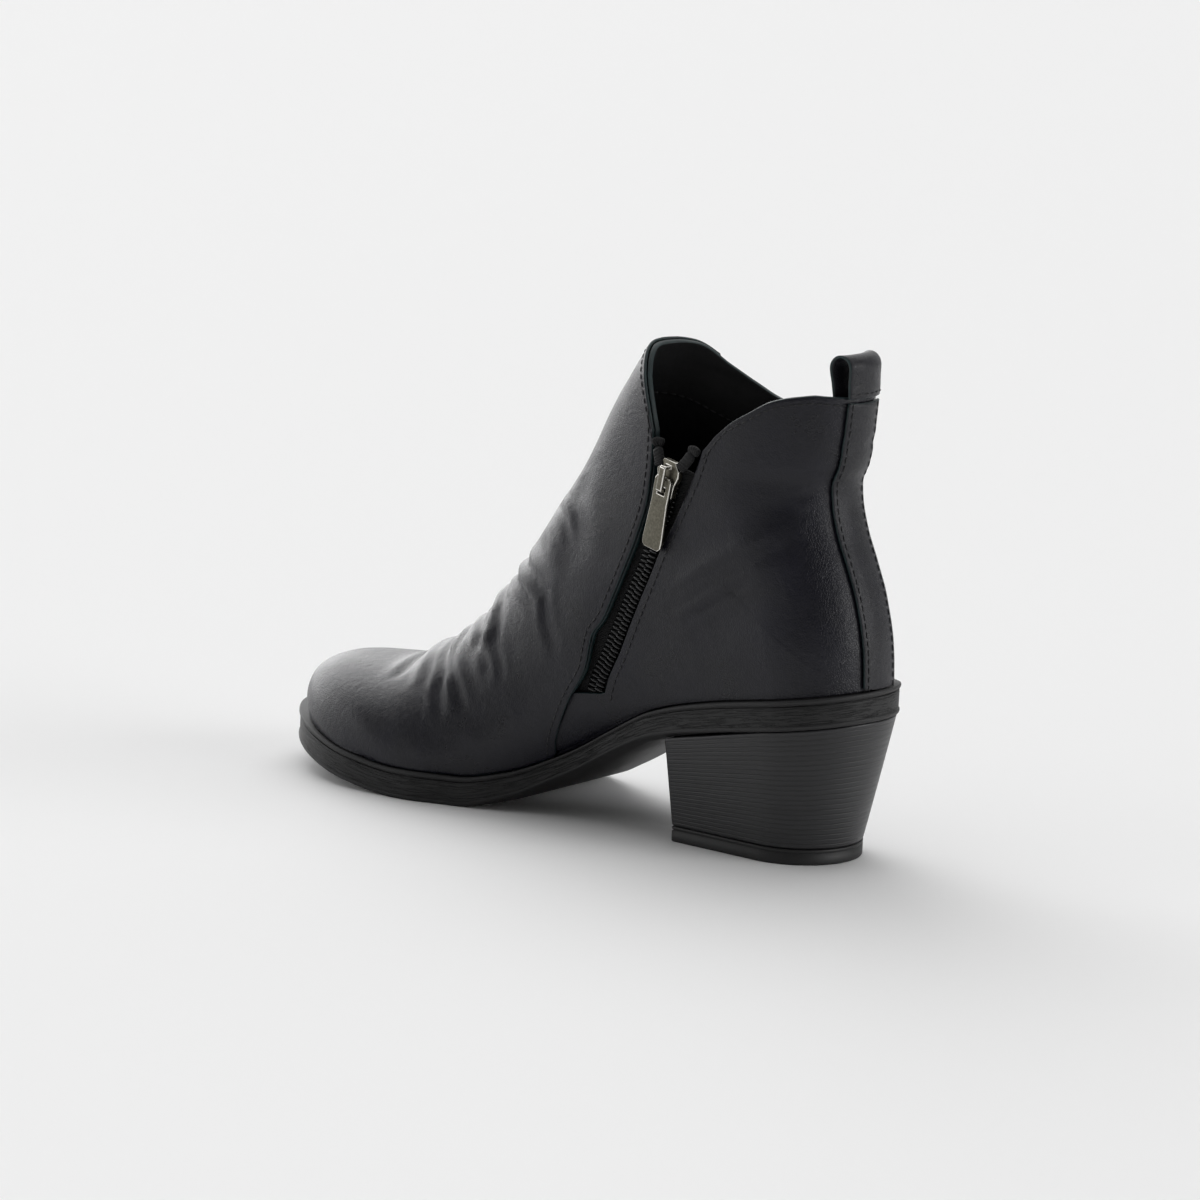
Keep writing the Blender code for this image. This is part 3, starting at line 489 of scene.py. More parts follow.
heel = {
    "setBack": 11.7 * mm, "baseLength": 64.5 * mm, "baseWidth": 50.7 * mm, "topLength": 77 * mm,
    "topInset": 1 * mm, "cap": 5.9 * mm, "roundShare": 0.7, "steps": 40, "rows": 60, "layer": 2.1 * mm,
}
leather = {
    "grain": 0.85 * mm, "pore": 0.28 * mm, "wrinkle": 3.4 * mm, "cloudScale": 38,
    "poreShare": 0.35, "wrinkleShare": 7.0, "bump": 0.09 * mm, "rough": (0.25, 0.38),
    "colours": ("#0e0e16", "#171721"), "strip": ("#0f0f15", "#1a1a21"), "lining": ("#0b0b0c", "#141416"),
}


def leatherMaterial(name, colours, grain, rough, strength):
    # full-grain calf, drum-dyed and polished: pebbled cells about 0.9 mm apart, a cloudy dye and a waxy gloss
    made, tree = newMaterial(name, Coat_Weight=0.05, Coat_Roughness=0.2, Specular_IOR_Level=0.32)
    where = addNode(tree, "ShaderNodeTexCoord", "Object")
    cloud = speckle(tree, where, leather["cloudScale"], 4, Roughness=0.6)
    cells = addNode(
        tree, "ShaderNodeTexVoronoi", "Distance", {"Vector": where, "Scale": 1 / grain, "Randomness": 0.95},
        feature="DISTANCE_TO_EDGE")
    warp = speckle(tree, where, 0.45 / grain, 6)
    pores = speckle(tree, where, 1 / leather["pore"], 3)
    wrinkle = speckle(tree, where, 1 / leather["wrinkle"], 2, Distortion=1.2)
    height = maths(tree, "MULTIPLY_ADD", warp, 1.2, ramp(tree, cells, (0.0, 0.0), (0.16, 1.0)))
    height = maths(tree, "MULTIPLY_ADD", pores, leather["poreShare"], height)
    folds = maths(tree, "MULTIPLY", wrinkle, cloud)
    height = maths(tree, "MULTIPLY_ADD", folds, leather["wrinkleShare"], height)
    gloss = addNode(
        tree, "ShaderNodeMapRange", "Result",
        {"Value": cloud, "From Min": 0.3, "From Max": 0.7, "To Min": rough[0], "To Max": rough[1]})
    colour = ramp(tree, cloud, (0.35, colours[0]), (0.72, colours[1]))
    return finishMaterial(made, colour, height, strength, leather["bump"], gloss)


fullGrain = leatherMaterial(
    "full-grain calf leather", leather["colours"], leather["grain"], leather["rough"], 0.6)
stripLeather = leatherMaterial("full-grain strip leather", leather["strip"], 0.7 * mm, (0.30, 0.42), 0.6)
liningLeather = leatherMaterial("pigskin lining", leather["lining"], 1.2 * mm, (0.62, 0.78), 0.5)


def plainMaterial(name, colours, roughness, noiseSize, strength, **constants):
    made, tree = newMaterial(name, Roughness=roughness, **constants)
    height = speckle(tree, addNode(tree, "ShaderNodeTexCoord", "Object"), 1 / noiseSize, 4)
    tint = ramp(tree, height, (0.3, colours[0]), (0.7, colours[1]))
    return finishMaterial(made, tint, height, strength, 0.1 * mm)


# brushed-on edge paint: a thin dark teal film with a dull shine
edgePaint = plainMaterial("edge paint", ("#0a1c1e", "#122a2c"), 0.5, 1.5 * mm, 0.3)
# bonded polyester thread: round, slightly shiny, near black
thread = plainMaterial("polyester thread", ("#09090b", "#121216"), 0.5, 0.3 * mm, 0.4)
# nylon coil: smooth monofilament with sharp small glints
nylon = plainMaterial("nylon coil", ("#0c0c0e", "#151518"), 0.24, 0.8 * mm, 0.1, Specular_IOR_Level=0.6)
# zinc casting, antiqued nickel: olive grey in the hollows, buffed bright on the rims
nickelDark = plainMaterial("antiqued nickel", ("#57544b", "#716e63"), 0.4, 0.9 * mm, 0.2, Metallic=1.0)
nickelBright = plainMaterial("buffed nickel rim", ("#c9c6bf", "#dedbd5"), 0.2, 0.9 * mm, 0.12, Metallic=1.0)
# thermoplastic rubber, satin from the mould
capRubber = plainMaterial("moulded heel cap rubber", ("#131314", "#1a1a1b"), 0.55, 0.6 * mm, 0.35)


def streakedRubber():
    # thermoplastic rubber moulded to look like a stacked leather edge: shallow streaks run along the band
    made, tree = newMaterial("moulded sole rubber", Roughness=0.58)
    streak = speckle(tree, bandPlace(tree, 90.0, 1400.0), 1.0, 3)
    band = addNode(tree, "ShaderNodeAttribute", "Fac", attribute_name="streaked")
    cut = maths(tree, "MULTIPLY", ramp(tree, streak, (0.36, 0.0), (0.5, 1.0)), band)
    fine = speckle(tree, addNode(tree, "ShaderNodeTexCoord", "Object"), 2200, 2)
    height = maths(tree, "MULTIPLY_ADD", fine, 0.12, cut)
    return finishMaterial(made, ramp(tree, height, (0.0, "#19191a"), (1.0, "#101011")), height, 0.9, 0.6 * mm)


def stackedHeel():
    # moulded block ribbed like stacked leather: a fine groove between layers, satin with soft streaks; the
    # colour is darker in the grooves as painted shade, and the streaks vary the tone
    made, tree = newMaterial("stacked heel", Coat_Weight=0.1, Coat_Roughness=0.35)
    layers = addNode(
        tree, "ShaderNodeTexWave", "Fac",
        {"Vector": bandPlace(tree, 1.0, 1.0), "Scale": np.pi / 10 / heel["layer"], "Distortion": 0.8,
         "Detail": 2},
        bands_direction="Y")
    streak = speckle(tree, bandPlace(tree, 14.0, 700.0), 1.0, 3)
    cut = ramp(tree, layers, (0.0, 0.0), (0.3, 1.0))
    # painted shade: the colour is darker in the grooves between layers; the streaks add real tone to it
    grooveShadeAndStreaks = maths(tree, "MULTIPLY_ADD", cut, 0.45, streak)
    height = maths(tree, "MULTIPLY_ADD", streak, 0.4, cut)
    gloss = addNode(tree, "ShaderNodeMapRange", "Result", {"Value": streak, "To Min": 0.55, "To Max": 0.35})
    return finishMaterial(
        made, ramp(tree, grooveShadeAndStreaks, (0.5, "#0f0f10"), (1.0, "#1d1d20")), height, 0.5, 0.2 * mm, gloss)


def wovenTape():
    # polyester zip tape, twill woven: ribs about 0.6 mm apart, matt and almost black
    made, tree = newMaterial("woven zip tape", Roughness=0.85)
    rib = 0.6 * mm
    weave = addNode(
        tree, "ShaderNodeTexWave", "Fac",
        {"Vector": bandPlace(tree, 1 / rib, 1 / rib), "Scale": 0.32, "Distortion": 1.0, "Detail": 1},
        bands_direction="DIAGONAL")
    return finishMaterial(made, ramp(tree, weave, (0.2, "#070708"), (0.9, "#101012")), weave, 0.6, 0.2 * mm)


soleRubber = streakedRubber()
heelStack = stackedHeel()
tapeCloth = wovenTape()
print("materials made")


def newObject(name, data):
    item = bpy.data.objects.new(name, data)
    bpy.context.scene.collection.objects.link(item)
    return item


def finishMesh(name, vertices, faces, materials, indices=None, uv=None, attribute=None):
    # a piece in the part's own frame, its faces pointing out
    vertices = np.asarray(vertices, float) + np.array([last["soleBack"], 0, 0])
    made = bpy.data.meshes.new(name)
    made.from_pydata(vertices.tolist(), [], faces)
    if indices is not None:
        made.polygons.foreach_set("material_index", np.asarray(indices, np.int32))
    if uv is not None:
        layer = made.uv_layers.new(name="band")
        corners = np.zeros(len(made.loops), np.int32)
        made.loops.foreach_get("vertex_index", corners)
        layer.data.foreach_set("uv", np.asarray(uv, float)[corners].ravel())
    if attribute is not None:
        values = made.attributes.new(attribute[0], "FLOAT", "POINT")
        values.data.foreach_set("value", np.asarray(attribute[1], np.float32))
    work = bmesh.new()
    work.from_mesh(made)
    bmesh.ops.recalc_face_normals(work, faces=work.faces)
    work.to_mesh(made)
    work.free()
    made.shade_smooth()
    for finish in materials:
        made.materials.append(finish)
    return newObject(name, made)


def lengths(path):  # distance along a path at each of its points
    return np.concatenate([[0], np.cumsum(np.linalg.norm(np.diff(path, axis=0), axis=1))])


def panel(name, outer, inner, materials, bulge=0.3 * mm, plainSides=(), uv=False):
    # closed shell between two grids with rounded, painted rims; plainSides are left, right, low or high
    rows, columns = outer.shape[:2]
    count = rows * columns
    index = np.arange(count).reshape(rows, columns)
    quads = np.stack([index[:-1, :-1], index[:-1, 1:], index[1:, 1:], index[1:, :-1]], -1).reshape(-1, 4)
    faces = quads.tolist() + (quads[:, ::-1] + count).tolist()
    kinds = [0] * len(quads) + [1] * len(quads)
    loop = [(0, j, "low") for j in range(columns - 1)]
    loop += [(i, columns - 1, "right") for i in range(rows - 1)]
    loop += [(rows - 1, j, "high") for j in range(columns - 1, 0, -1)]
    loop += [(i, 0, "left") for i in range(rows - 1, 0, -1)]
    at = np.array([(i, j) for i, j, _ in loop])
    inward = np.clip(at, [1, 1], [rows - 2, columns - 2])
    top = outer[at[:, 0], at[:, 1]]
    bottom = inner[at[:, 0], at[:, 1]]
    away = top - outer[inward[:, 0], inward[:, 1]]
    away /= np.maximum(np.linalg.norm(away, axis=1, keepdims=True), 1e-9)
    keep = np.array([0.0 if side in plainSides else 1.0 for _, _, side in loop])[:, None]
    rings = []
    for t in (0.14, 0.5, 0.86):
        rings.append(top * (1 - t) + bottom * t + away * bulge * np.sin(np.pi * t) ** 0.6 * keep)
    points = np.concatenate([outer.reshape(-1, 3), inner.reshape(-1, 3)] + rings)
    turns = len(loop)
    outerLoop = index[at[:, 0], at[:, 1]]
    bands = [outerLoop] + [2 * count + k * turns + np.arange(turns) for k in range(3)] + [outerLoop + count]
    for one, two in zip(bands, bands[1:]):
        for k in range(turns):
            after = (k + 1) % turns
            faces.append([int(one[k]), int(one[after]), int(two[after]), int(two[k])])
            kinds.append(1 if loop[k][2] in plainSides else 2)
    spread = None
    if uv:
        places = np.stack(np.meshgrid(lengths(outer[0]), lengths(outer[:, 0])), -1).reshape(-1, 2)
        rim = places[outerLoop]
        spread = np.concatenate([places, places, rim, rim, rim])
    return finishMesh(name, points, faces, materials, kinds, spread)


def riding(piece, body, slotName, *nodes):
    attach(piece, body)
    if nodes:
        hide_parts(*nodes)
    return piece


grid = {"rowsPerSection": 12, "legRows": 76, "columns": 141, "quarterColumns": 131}
lowRows = np.linspace(0, heelRow, heelRow * grid["rowsPerSection"] + 1)
legShares = np.linspace(0, 1, grid["legRows"] + 1)[1:]


def gridPlaces(spread, low, columns):  # rows up to the collar, with the places around that a function gives
    part = np.linspace(0, 1, columns)
    top = np.full(columns, lastRow - 1.5)
    for _ in range(12):
        top = collarRow(spread(top, part))
    rows = np.repeat(low[:, None], columns, 1)
    rows = np.concatenate([rows, heelRow + (top[None] - heelRow) * legShares[:, None]])
    return rows, spread(rows, np.broadcast_to(part, rows.shape))


def vampSpread(row, part):
    inside = vampReach(row, 1)
    outside = vampReach(row, -1)
    return -outside + (inside + outside) * part


def frontSpread(row, part):
    return -1 + (vampReach(row, 1) + 1) * part


def quarterSpread(row, part):
    edge = quarterReach(row)
    return edge + (1 - edge) * part


footRows = bisect(lambda row: vampReach(row, 1) - 0.995, [6.0], [9.0])
quarterRows = np.linspace(footRows[0] + 0.02, heelRow, 120)
wallDepths = (last["quarterDepth"], last["liningDepth"])
shells = [  # piece, how far it spreads, its low rows, columns, depths of its faces, sides without paint, node
    ("vamp_leather", vampSpread, lowRows, grid["columns"], (0.0, -last["overlay"]), ("low",), "vamp"),
    ("upper_leather", frontSpread, lowRows, grid["columns"], wallDepths, ("low", "left"), "upper"),
    ("inner_quarter", quarterSpread, quarterRows, grid["quarterColumns"], wallDepths, ("low", "right"),
     "upper"),
]
for name, spread, low, columns, (shallow, deep), plainSides, node in shells:
    rows, around = gridPlaces(spread, low, columns)
    shell = panel(
        name, skin(rows, around, shallow), skin(rows, around, deep), [fullGrain, liningLeather, edgePaint],
        0.35 * mm, plainSides)
    riding(shell, "boot", "upper_leather", node)
    print(name, "made")


strip = {"width": 19 * mm, "top": 0.985, "columns": 25, "rows": 70}
loopSize = {"rise": 15.5 * mm, "radius": 4.4 * mm, "leg": 11 * mm, "pinch": 0.35, "wrinkle": 0.3 * mm}


def stripPlace(rows, out):  # place around at a distance from the middle of the back
    rows, out = np.broadcast_arrays(np.asarray(rows, float), np.asarray(out, float))

    def within(around):
        point = form(rows, around)
        return np.abs(out) - point[..., 1] + swing(point[..., 0])

    place = bisect(within, np.ones(rows.shape), np.full(rows.shape, 0.6))
    return np.where(out == 0, 1.0, np.sign(out) * place)


rows = heelRow + (lastRow - heelRow) * np.linspace(0, strip["top"], strip["rows"])
out = strip["width"] / 2 * np.linspace(-1, 1, strip["columns"])
out[strip["columns"] // 2] = 0
rows = np.repeat(rows[:, None], strip["columns"], 1)
out = np.repeat(out[None], len(rows), 0)
around = stripPlace(rows, out)
backStrip = panel(
    "back_strip_leather", skin(rows, around, 0.0), skin(rows, around, -last["overlay"]),
    [stripLeather, liningLeather, edgePaint], 0.25 * mm, ("low",))
riding(backStrip, "boot", "strip_leather", "back_strip")


def loopGrids():
    columns = 25
    out = strip["width"] / 2 * np.linspace(-1, 1, columns)
    out[columns // 2] = 0
    top = np.full(columns, float(lastRow))
    edge = skin(top, stripPlace(top, out), 0.0, False)
    curve = edge[:, 0] - edge[columns // 2, 0]
    overlay = last["overlay"]
    outerX = edge[columns // 2, 0] + overlay / 2
    base = seatLevel + last["gap"] + backHeight
    innerX = outerX - last["liningDepth"] + 2 * last["gap"] + overlay
    legShare = 1 - loopSize["leg"] / backHeight
    lean = float(smooth(backLine, 1, legShare) - smooth(backLine, 1, 1.0)) * soleLength
    radius = loopSize["radius"]
    top = base + loopSize["rise"] - radius
    centre = outerX + radius
    path = [(outerX, base + last["gap"])]
    for angle in np.radians(np.linspace(180, 0, 25)):
        path.append((centre + radius * np.cos(angle), top + radius * np.sin(angle)))
    path.append((innerX + (centre + radius - innerX) * loopSize["pinch"], base + last["gap"]))
    path.append((innerX + lean, base - loopSize["leg"]))
    path = np.array(path)
    length = lengths(path)
    fine = np.linspace(0, length[-1], 90)
    path = np.stack([np.interp(fine, length, path[:, 0]), np.interp(fine, length, path[:, 1])], 1)
    for _ in range(6):
        path[1:-1] = (path[:-2] + 2 * path[1:-1] + path[2:]) / 4
    tangent = np.gradient(path, axis=0)
    normal = np.stack([-tangent[:, 1], tangent[:, 0]], 1)
    normal /= np.linalg.norm(normal, axis=1, keepdims=True)
    ripple = [[noise.noise(Vector((s / 0.006, o / 0.014, 3.0))) for o in out] for s in fine]
    ripple = np.array(ripple) * loopSize["wrinkle"]
    grids = []
    for offset in (overlay / 2, -overlay / 2):
        x = path[:, 0][:, None] + curve[None] + normal[:, 0][:, None] * (offset + ripple)
        z = path[:, 1][:, None] + normal[:, 1][:, None] * (offset + ripple)
        y = np.repeat(edge[:, 1][None], len(path), 0)
        grids.append(np.stack([x, y, z], -1))
    return grids


loopOuter, loopInner = loopGrids()
pullLoop = panel(
    "pull_loop_leather", loopOuter, loopInner, [stripLeather, stripLeather, edgePaint], 0.2 * mm)
riding(pullLoop, "boot", "strip_leather", "pull_loop")
print("back strip and loop made")


sole = {"steps": 150, "bevel": 1.2 * mm, "waistBevel": 1.5, "waistFade": 30 * mm}


def outlineRing(inset, height, toeInset=None, steps=sole["steps"]):
    toeInset = inset if toeInset is None else toeInset
    turn = np.linspace(0, np.pi, steps + 1)
    ahead = inset + (soleLength - toeInset - inset) * (1 - np.cos(turn)) / 2
    sides = []
    for inner in (True, False):
        width = halfWidth(ahead, inner, inset, toeInset)
        sides.append(np.stack([ahead, swing(ahead) + (width if inner else -width), height(ahead)], 1))
    return np.concatenate([sides[0], sides[1][-2:0:-1]])


def edgeHeight(share):
    def height(ahead):
        thickness = last["soleThickness"] * smooth(profile, 3, ahead / soleLength)
        return soleTop(ahead) - thickness * (1 - share)
    return height


def capFaces(size, base, pointed):  # ladder over a ring that runs out on one side and back on the other
    half = size // 2
    faces = [[base, base + 1, base + size - 1]]
    for i in range(1, half - 1 if pointed else half):
        faces.append([base + i, base + i + 1, base + size - i - 1, base + size - i])
    if pointed:
        faces.append([base + half - 1, base + half, base + half + 1])
    return faces


def stacked(name, rings, pointed, finish, heights, attribute=None):
    # solid of rings; the uv map runs round the outline and up by the height given for each ring
    size = len(rings[0])
    count = len(rings)
    points = np.concatenate(rings)
    faces = []
    for level in range(count - 1):
        low = level * size
        for i in range(size):
            after = (i + 1) % size
            faces.append([low + i, low + after, low + size + after, low + size + i])
    faces += capFaces(size, 0, pointed) + capFaces(size, (count - 1) * size, pointed)
    around = lengths(rings[0][:size // 2 + 1])
    around = np.concatenate([around, around[-2:0:-1] if pointed else around[:0:-1]])
    uv = np.stack([np.tile(around, count), np.repeat(heights, size)], 1)
    spread = (attribute[0], np.repeat(attribute[1], size)) if attribute else None
    return finishMesh(name, points, faces, [finish], None, uv, spread)


def makeSole():
    first = outlineRing(sole["bevel"] + 0.6 * mm, underside)
    drop = edgeHeight(0.0)(first[:, 0]) - first[:, 2]
    out = first[:, 1] - swing(first[:, 0])
    pastHeel = np.clip((first[:, 0] - heel["topLength"]) / sole["waistFade"], 0, 1)
    first[:, 1] -= np.sign(out) * np.minimum(sole["waistBevel"] * drop * pastHeel, np.abs(out) / 2)
    side = [  # share up, taken in in mm, streaked
        (0.00, 0.9, 0), (0.02, 0.45, 0), (0.06, 0.15, 0), (0.11, 0.05, 0), (0.15, 0.1, 0), (0.17, 0.5, 1),
        (0.21, 0.55, 1), (0.32, 0.5, 1), (0.45, 0.5, 1), (0.58, 0.5, 1), (0.70, 0.5, 1), (0.79, 0.55, 1),
        (0.815, 0.9, 0), (0.835, 0.9, 0), (0.86, 0.2, 0), (0.90, 0.0, 0), (0.95, 0.0, 0), (0.98, 0.12, 0),
        (1.00, 0.5, 0),
    ]
    rings = [first]
    heights = [0]
    streaked = [0]
    for share, taken, on in side:
        rings.append(outlineRing(taken * mm, edgeHeight(share)))
        heights.append(share * last["soleThickness"])
        streaked.append(on)
    return stacked("outsole_rubber", rings, True, soleRubber, heights, ("streaked", streaked))


def heelRing(share, height, inset=0.0):
    back = heel["setBack"] * (1 - share) + heel["topInset"] * share + inset
    frontEnd = (heel["setBack"] + heel["baseLength"]) * (1 - share) + heel["topLength"] * share - inset
    wide = heel["baseWidth"] * (1 - share) + (last["seatWidth"] - 2 * heel["topInset"]) * share
    width = wide / 2 - inset
    roundLength = min(width, (frontEnd - back) * heel["roundShare"])
    turn = np.linspace(0, np.pi / 2, heel["steps"])
    ahead = back + (1 - np.cos(turn)) * roundLength
    out = np.sin(turn) * width
    corner = 1.2 * mm
    ahead = np.concatenate([ahead, [frontEnd - corner, frontEnd - corner * 0.3, frontEnd]])
    out = np.concatenate([out, [width, width - corner * 0.3, width - corner]])
    inner = np.stack([ahead, out, height(ahead)], 1)
    return np.concatenate([inner, inner[:0:-1] * np.array([1, -1, 1])])


def makeHeel():
    bottom = heel["cap"] + last["gap"]

    def slanted(share):
        return lambda ahead: bottom + (underside(ahead) - last["gap"] - bottom) * share

    shares = np.linspace(0, 1, heel["rows"] + 1)
    rings = []
    for share in shares:
        rings.append(heelRing(share, slanted(share)))
    rings[0] = heelRing(0.0, slanted(0.0), 0.25 * mm)
    tall = last["heelHeight"] - heel["cap"]
    return stacked("heel_block_stack", rings, False, heelStack, shares * tall)


def makeCap():
    def level(value):
        return lambda ahead: np.full(np.shape(ahead), value)

    steps = [  # height and inset in mm; the dip is the groove
        (0.0, 0.5), (0.15, 0.15), (0.5, 0.0), (4.1, 0.0), (4.35, 0.35), (4.6, 0.35), (4.85, 0.0), (5.7, 0.0),
        (5.9, 0.2),
    ]
    rings = [heelRing(0.0, level(z * mm), taken * mm) for z, taken in steps]
    return stacked("heel_cap_rubber", rings, False, capRubber, [z * mm for z, _ in steps])


riding(makeSole(), "boot", "sole_rubber", "outsole")
riding(makeHeel(), "boot", "heel_stack", "heel_block")
riding(makeCap(), "boot", "sole_rubber", "heel_cap")


insole = {"lift": 0.6 * mm, "inset": 6.8 * mm, "toeInset": 11.3 * mm}


def makeInsole():
    def level(extra):
        return lambda ahead: soleTop(ahead) + insole["lift"] + extra

    steps = [(0, 0.2), (0.4, 0), (1.5, 0), (1.9, 0.2), (2.0, 0.6)]  # height and inset in mm
    rings = []
    for extra, taken in steps:
        taken *= mm
        rings.append(outlineRing(insole["inset"] + taken, level(extra * mm), insole["toeInset"] + taken, 80))
    return stacked("insole_lining", rings, True, liningLeather, [extra * mm for extra, _ in steps])


riding(makeInsole(), "boot", "insole_board", "insole")
print("sole, heel and insole made")


zipper = {
    "tapeThickness": 0.8 * mm, "tapeLap": 3 * mm, "tapeGap": 0.9 * mm, "chainWidth": 6.8 * mm,
    "margin": 1.5 * mm, "lean": 20 * mm, "leanFrom": 0.35, "top": 0.70,
    "sliderUp": 0.660, "pitch": 1.9 * mm, "wire": 0.95 * mm, "coilWidth": 3.5 * mm, "coilSide": 1.5 * mm,
    "coilHeight": 1.5 * mm, "coilRise": 1.1 * mm,
}


def zipSideView(up):
    hind = smooth(hindEdge, 1, up) * soleLength
    front = smooth(vampEdge, 1, up) * soleLength
    lean = zipper["lean"] * np.clip(up - zipper["leanFrom"], 0, 1)
    lean = lean + zipper["chainWidth"] / 2 + zipper["margin"]
    return hind + np.minimum((front - hind) / 2, lean), seatLevel + up * backHeight


def beside(x, z, distance):  # a line in the side view, moved to one side of itself
    direction = np.gradient(np.stack([x, z], 1), axis=0)
    direction /= np.linalg.norm(direction, axis=1, keepdims=True)
    return x + direction[:, 1] * distance, z - direction[:, 0] * distance


def tapeWidths(up):
    hind = smooth(hindEdge, 1, up) * soleLength
    front = smooth(vampEdge, 1, up) * soleLength
    x = zipSideView(up)[0]
    return hind - x - zipper["tapeLap"], front - x + zipper["tapeLap"]


up = np.linspace(slotFoot - .03, zipper["top"], 60)
left, right = tapeWidths(up)
part = np.linspace(0, 1, 15)[:, None]
gridX, gridZ = beside(*zipSideView(up), left * (1 - part) + right * part)
row, across = onSide(gridX.T, gridZ.T)
tapeTop = last["liningDepth"] - zipper["tapeGap"]
tape = panel(
    "zip_tape_cloth", skin(row, across, tapeTop, False),
    skin(row, across, tapeTop - zipper["tapeThickness"], False), [tapeCloth, tapeCloth, tapeCloth],
    0.1 * mm, (), True)
riding(tape, "boot", "zip_tape", "zip_tape")


def tapeEnd(name, path, width, thick, outward):
    # end of the tape folded over its top stop: a soft flat tube along a path in mm, ahead, inward and up
    middle = np.array(path, float) * mm
    steps = np.linspace(0, len(middle) - 1, 6 * len(middle) - 5)
    middle = np.stack([np.interp(steps, np.arange(len(middle)), middle[:, i]) for i in range(3)], 1)
    along = np.gradient(middle, axis=0)
    along /= np.linalg.norm(along, axis=1, keepdims=True)
    wide = np.cross(along, np.array(outward, float))
    wide /= np.linalg.norm(wide, axis=1, keepdims=True)
    flat = np.cross(wide, along)
    turn = np.linspace(0, 2 * np.pi, 16, endpoint=False)
    share = np.linspace(0, 1, len(middle))
    ends = np.clip(np.minimum(share, 1 - share) / 0.12, 0, 1) ** 0.5 * 0.75 + 0.25
    squareCos, squareSin = [np.sign(v) * np.abs(v) ** 0.7 for v in (np.cos(turn), np.sin(turn))]
    rings = []
    for point, w, t, e in zip(middle, wide, flat, ends):
        rings.append(point + e * (squareCos[:, None] * w * width / 2 + squareSin[:, None] * t * thick / 2))
    return stacked(name, rings, True, tapeCloth, share * 8 * mm)


folds = {
    "tape_end_front": ([(86.9, 28.6, 141.5), (87.6, 28.2, 144.2), (89.4, 27.4, 148.4)], 4.4 * mm, 2.2 * mm),
    "tape_end_back": ([(77.2, 29.6, 141.8), (75.0, 29.4, 144.2), (71.6, 29.2, 148.6)], 4.4 * mm, 2.2 * mm),
    "tape_roll_front": ([(91.8, 27.4, 149.2), (90.2, 26.4, 150.2), (87.6, 25.4, 149.8)], 3.2 * mm, 2.6 * mm),
    "tape_roll_back": ([(74.4, 27.8, 149.4), (72.0, 28.4, 149.8), (69.2, 28.8, 148.4)], 3.2 * mm, 2.6 * mm),
}
for name, (path, width, thick) in folds.items():
    riding(tapeEnd(name, path, width, thick, (0.1, 1, 0.1)), "boot", "zip_tape")


def pathMesh(name, points, outward=None):  # a line for the node trees, with the direction that faces out
    made = bpy.data.meshes.new(name)
    moved = np.asarray(points) + np.array([last["soleBack"], 0, 0])
    made.from_pydata(moved.tolist(), [(i, i + 1) for i in range(len(moved) - 1)], [])
    layer = made.attributes.new("outward", "FLOAT_VECTOR", "POINT")
    facing = np.zeros((len(moved), 3)) + np.array([0, 1, 0]) if outward is None else outward
    layer.data.foreach_set("vector", np.asarray(facing, np.float32).ravel())
    return newObject(name, made)


def rowTree(name, buildShape):
    # node tree that puts a shape along a line at a pitch; the shape's y follows the line and its z faces out
    tree = bpy.data.node_groups.new(name, "GeometryNodeTree")
    inputs = {"Geometry": "Geometry", "Finish": "Material"}
    inputs.update({label: "Float" for label in ("Pitch", "Length", "Width", "Height")})
    for label, kind in inputs.items():
        tree.interface.new_socket(label, in_out="INPUT", socket_type="NodeSocket" + kind)
    tree.interface.new_socket("Geometry", in_out="OUTPUT", socket_type="NodeSocketGeometry")
    given = addNode(tree, "NodeGroupInput").outputs
    line = addNode(tree, "GeometryNodeMeshToCurve", "Curve", {"Mesh": given["Geometry"]})
    evened = addNode(
        tree, "GeometryNodeResampleCurve", "Curve", {"Curve": line, "Length": given["Pitch"]}, mode="LENGTH")
    tangent = addNode(tree, "GeometryNodeInputTangent", "Tangent")
    outward = addNode(
        tree, "GeometryNodeInputNamedAttribute", "Attribute", {"Name": "outward"}, data_type="FLOAT_VECTOR")
    along = addNode(tree, "FunctionNodeAlignRotationToVector", "Rotation", {"Vector": tangent}, axis="Y")
    turned = addNode(
        tree, "FunctionNodeAlignRotationToVector", "Rotation", {"Rotation": along, "Vector": outward},
        axis="Z", pivot_axis="Y")
    placed = addNode(
        tree, "GeometryNodeInstanceOnPoints", "Instances",
        {"Points": evened, "Instance": buildShape(tree, given), "Rotation": turned})
    real = addNode(tree, "GeometryNodeRealizeInstances", "Geometry", {"Geometry": placed})
    smoothed = addNode(tree, "GeometryNodeSetShadeSmooth", "Geometry", {"Geometry": real})
    finished = addNode(
        tree, "GeometryNodeSetMaterial", "Geometry", {"Geometry": smoothed, "Material": given["Finish"]})
    addNode(tree, "NodeGroupOutput", None, {"Geometry": finished})
    return tree


def scaled(tree, shape, x, y, z, **turn):  # the shape at a size given by sockets or values
    size = addNode(tree, "ShaderNodeCombineXYZ", "Vector", {"X": x, "Y": y, "Z": z})
    return addNode(tree, "GeometryNodeTransform", "Geometry", {"Geometry": shape, "Scale": size, **turn})


def beadShape(tree, given):  # one stitch: a bead as long as the stitch, flattened into the leather
    bead = addNode(tree, "GeometryNodeMeshUVSphere", "Mesh", {"Segments": 7, "Rings": 5, "Radius": 0.5})
    return scaled(tree, bead, given["Width"], given["Length"], given["Height"])


def coilShape(tree, given):  # one turn of the coil: a wire ring lying across the zip
    circle = "GeometryNodeCurvePrimitiveCircle"
    ring = addNode(tree, circle, "Curve", {"Resolution": 14, "Radius": 0.5})
    ring = scaled(tree, ring, given["Width"], given["Height"], 1.0, Rotation=(np.pi / 2, 0.0, 0.0))
    half = maths(tree, "MULTIPLY", given["Length"], 0.5)
    wire = addNode(tree, circle, "Curve", {"Resolution": 7, "Radius": half})
    return addNode(tree, "GeometryNodeCurveToMesh", "Mesh", {"Curve": ring, "Profile Curve": wire})


stitchTree = rowTree("stitch row", beadShape)
coilTree = rowTree("coil row", coilShape)


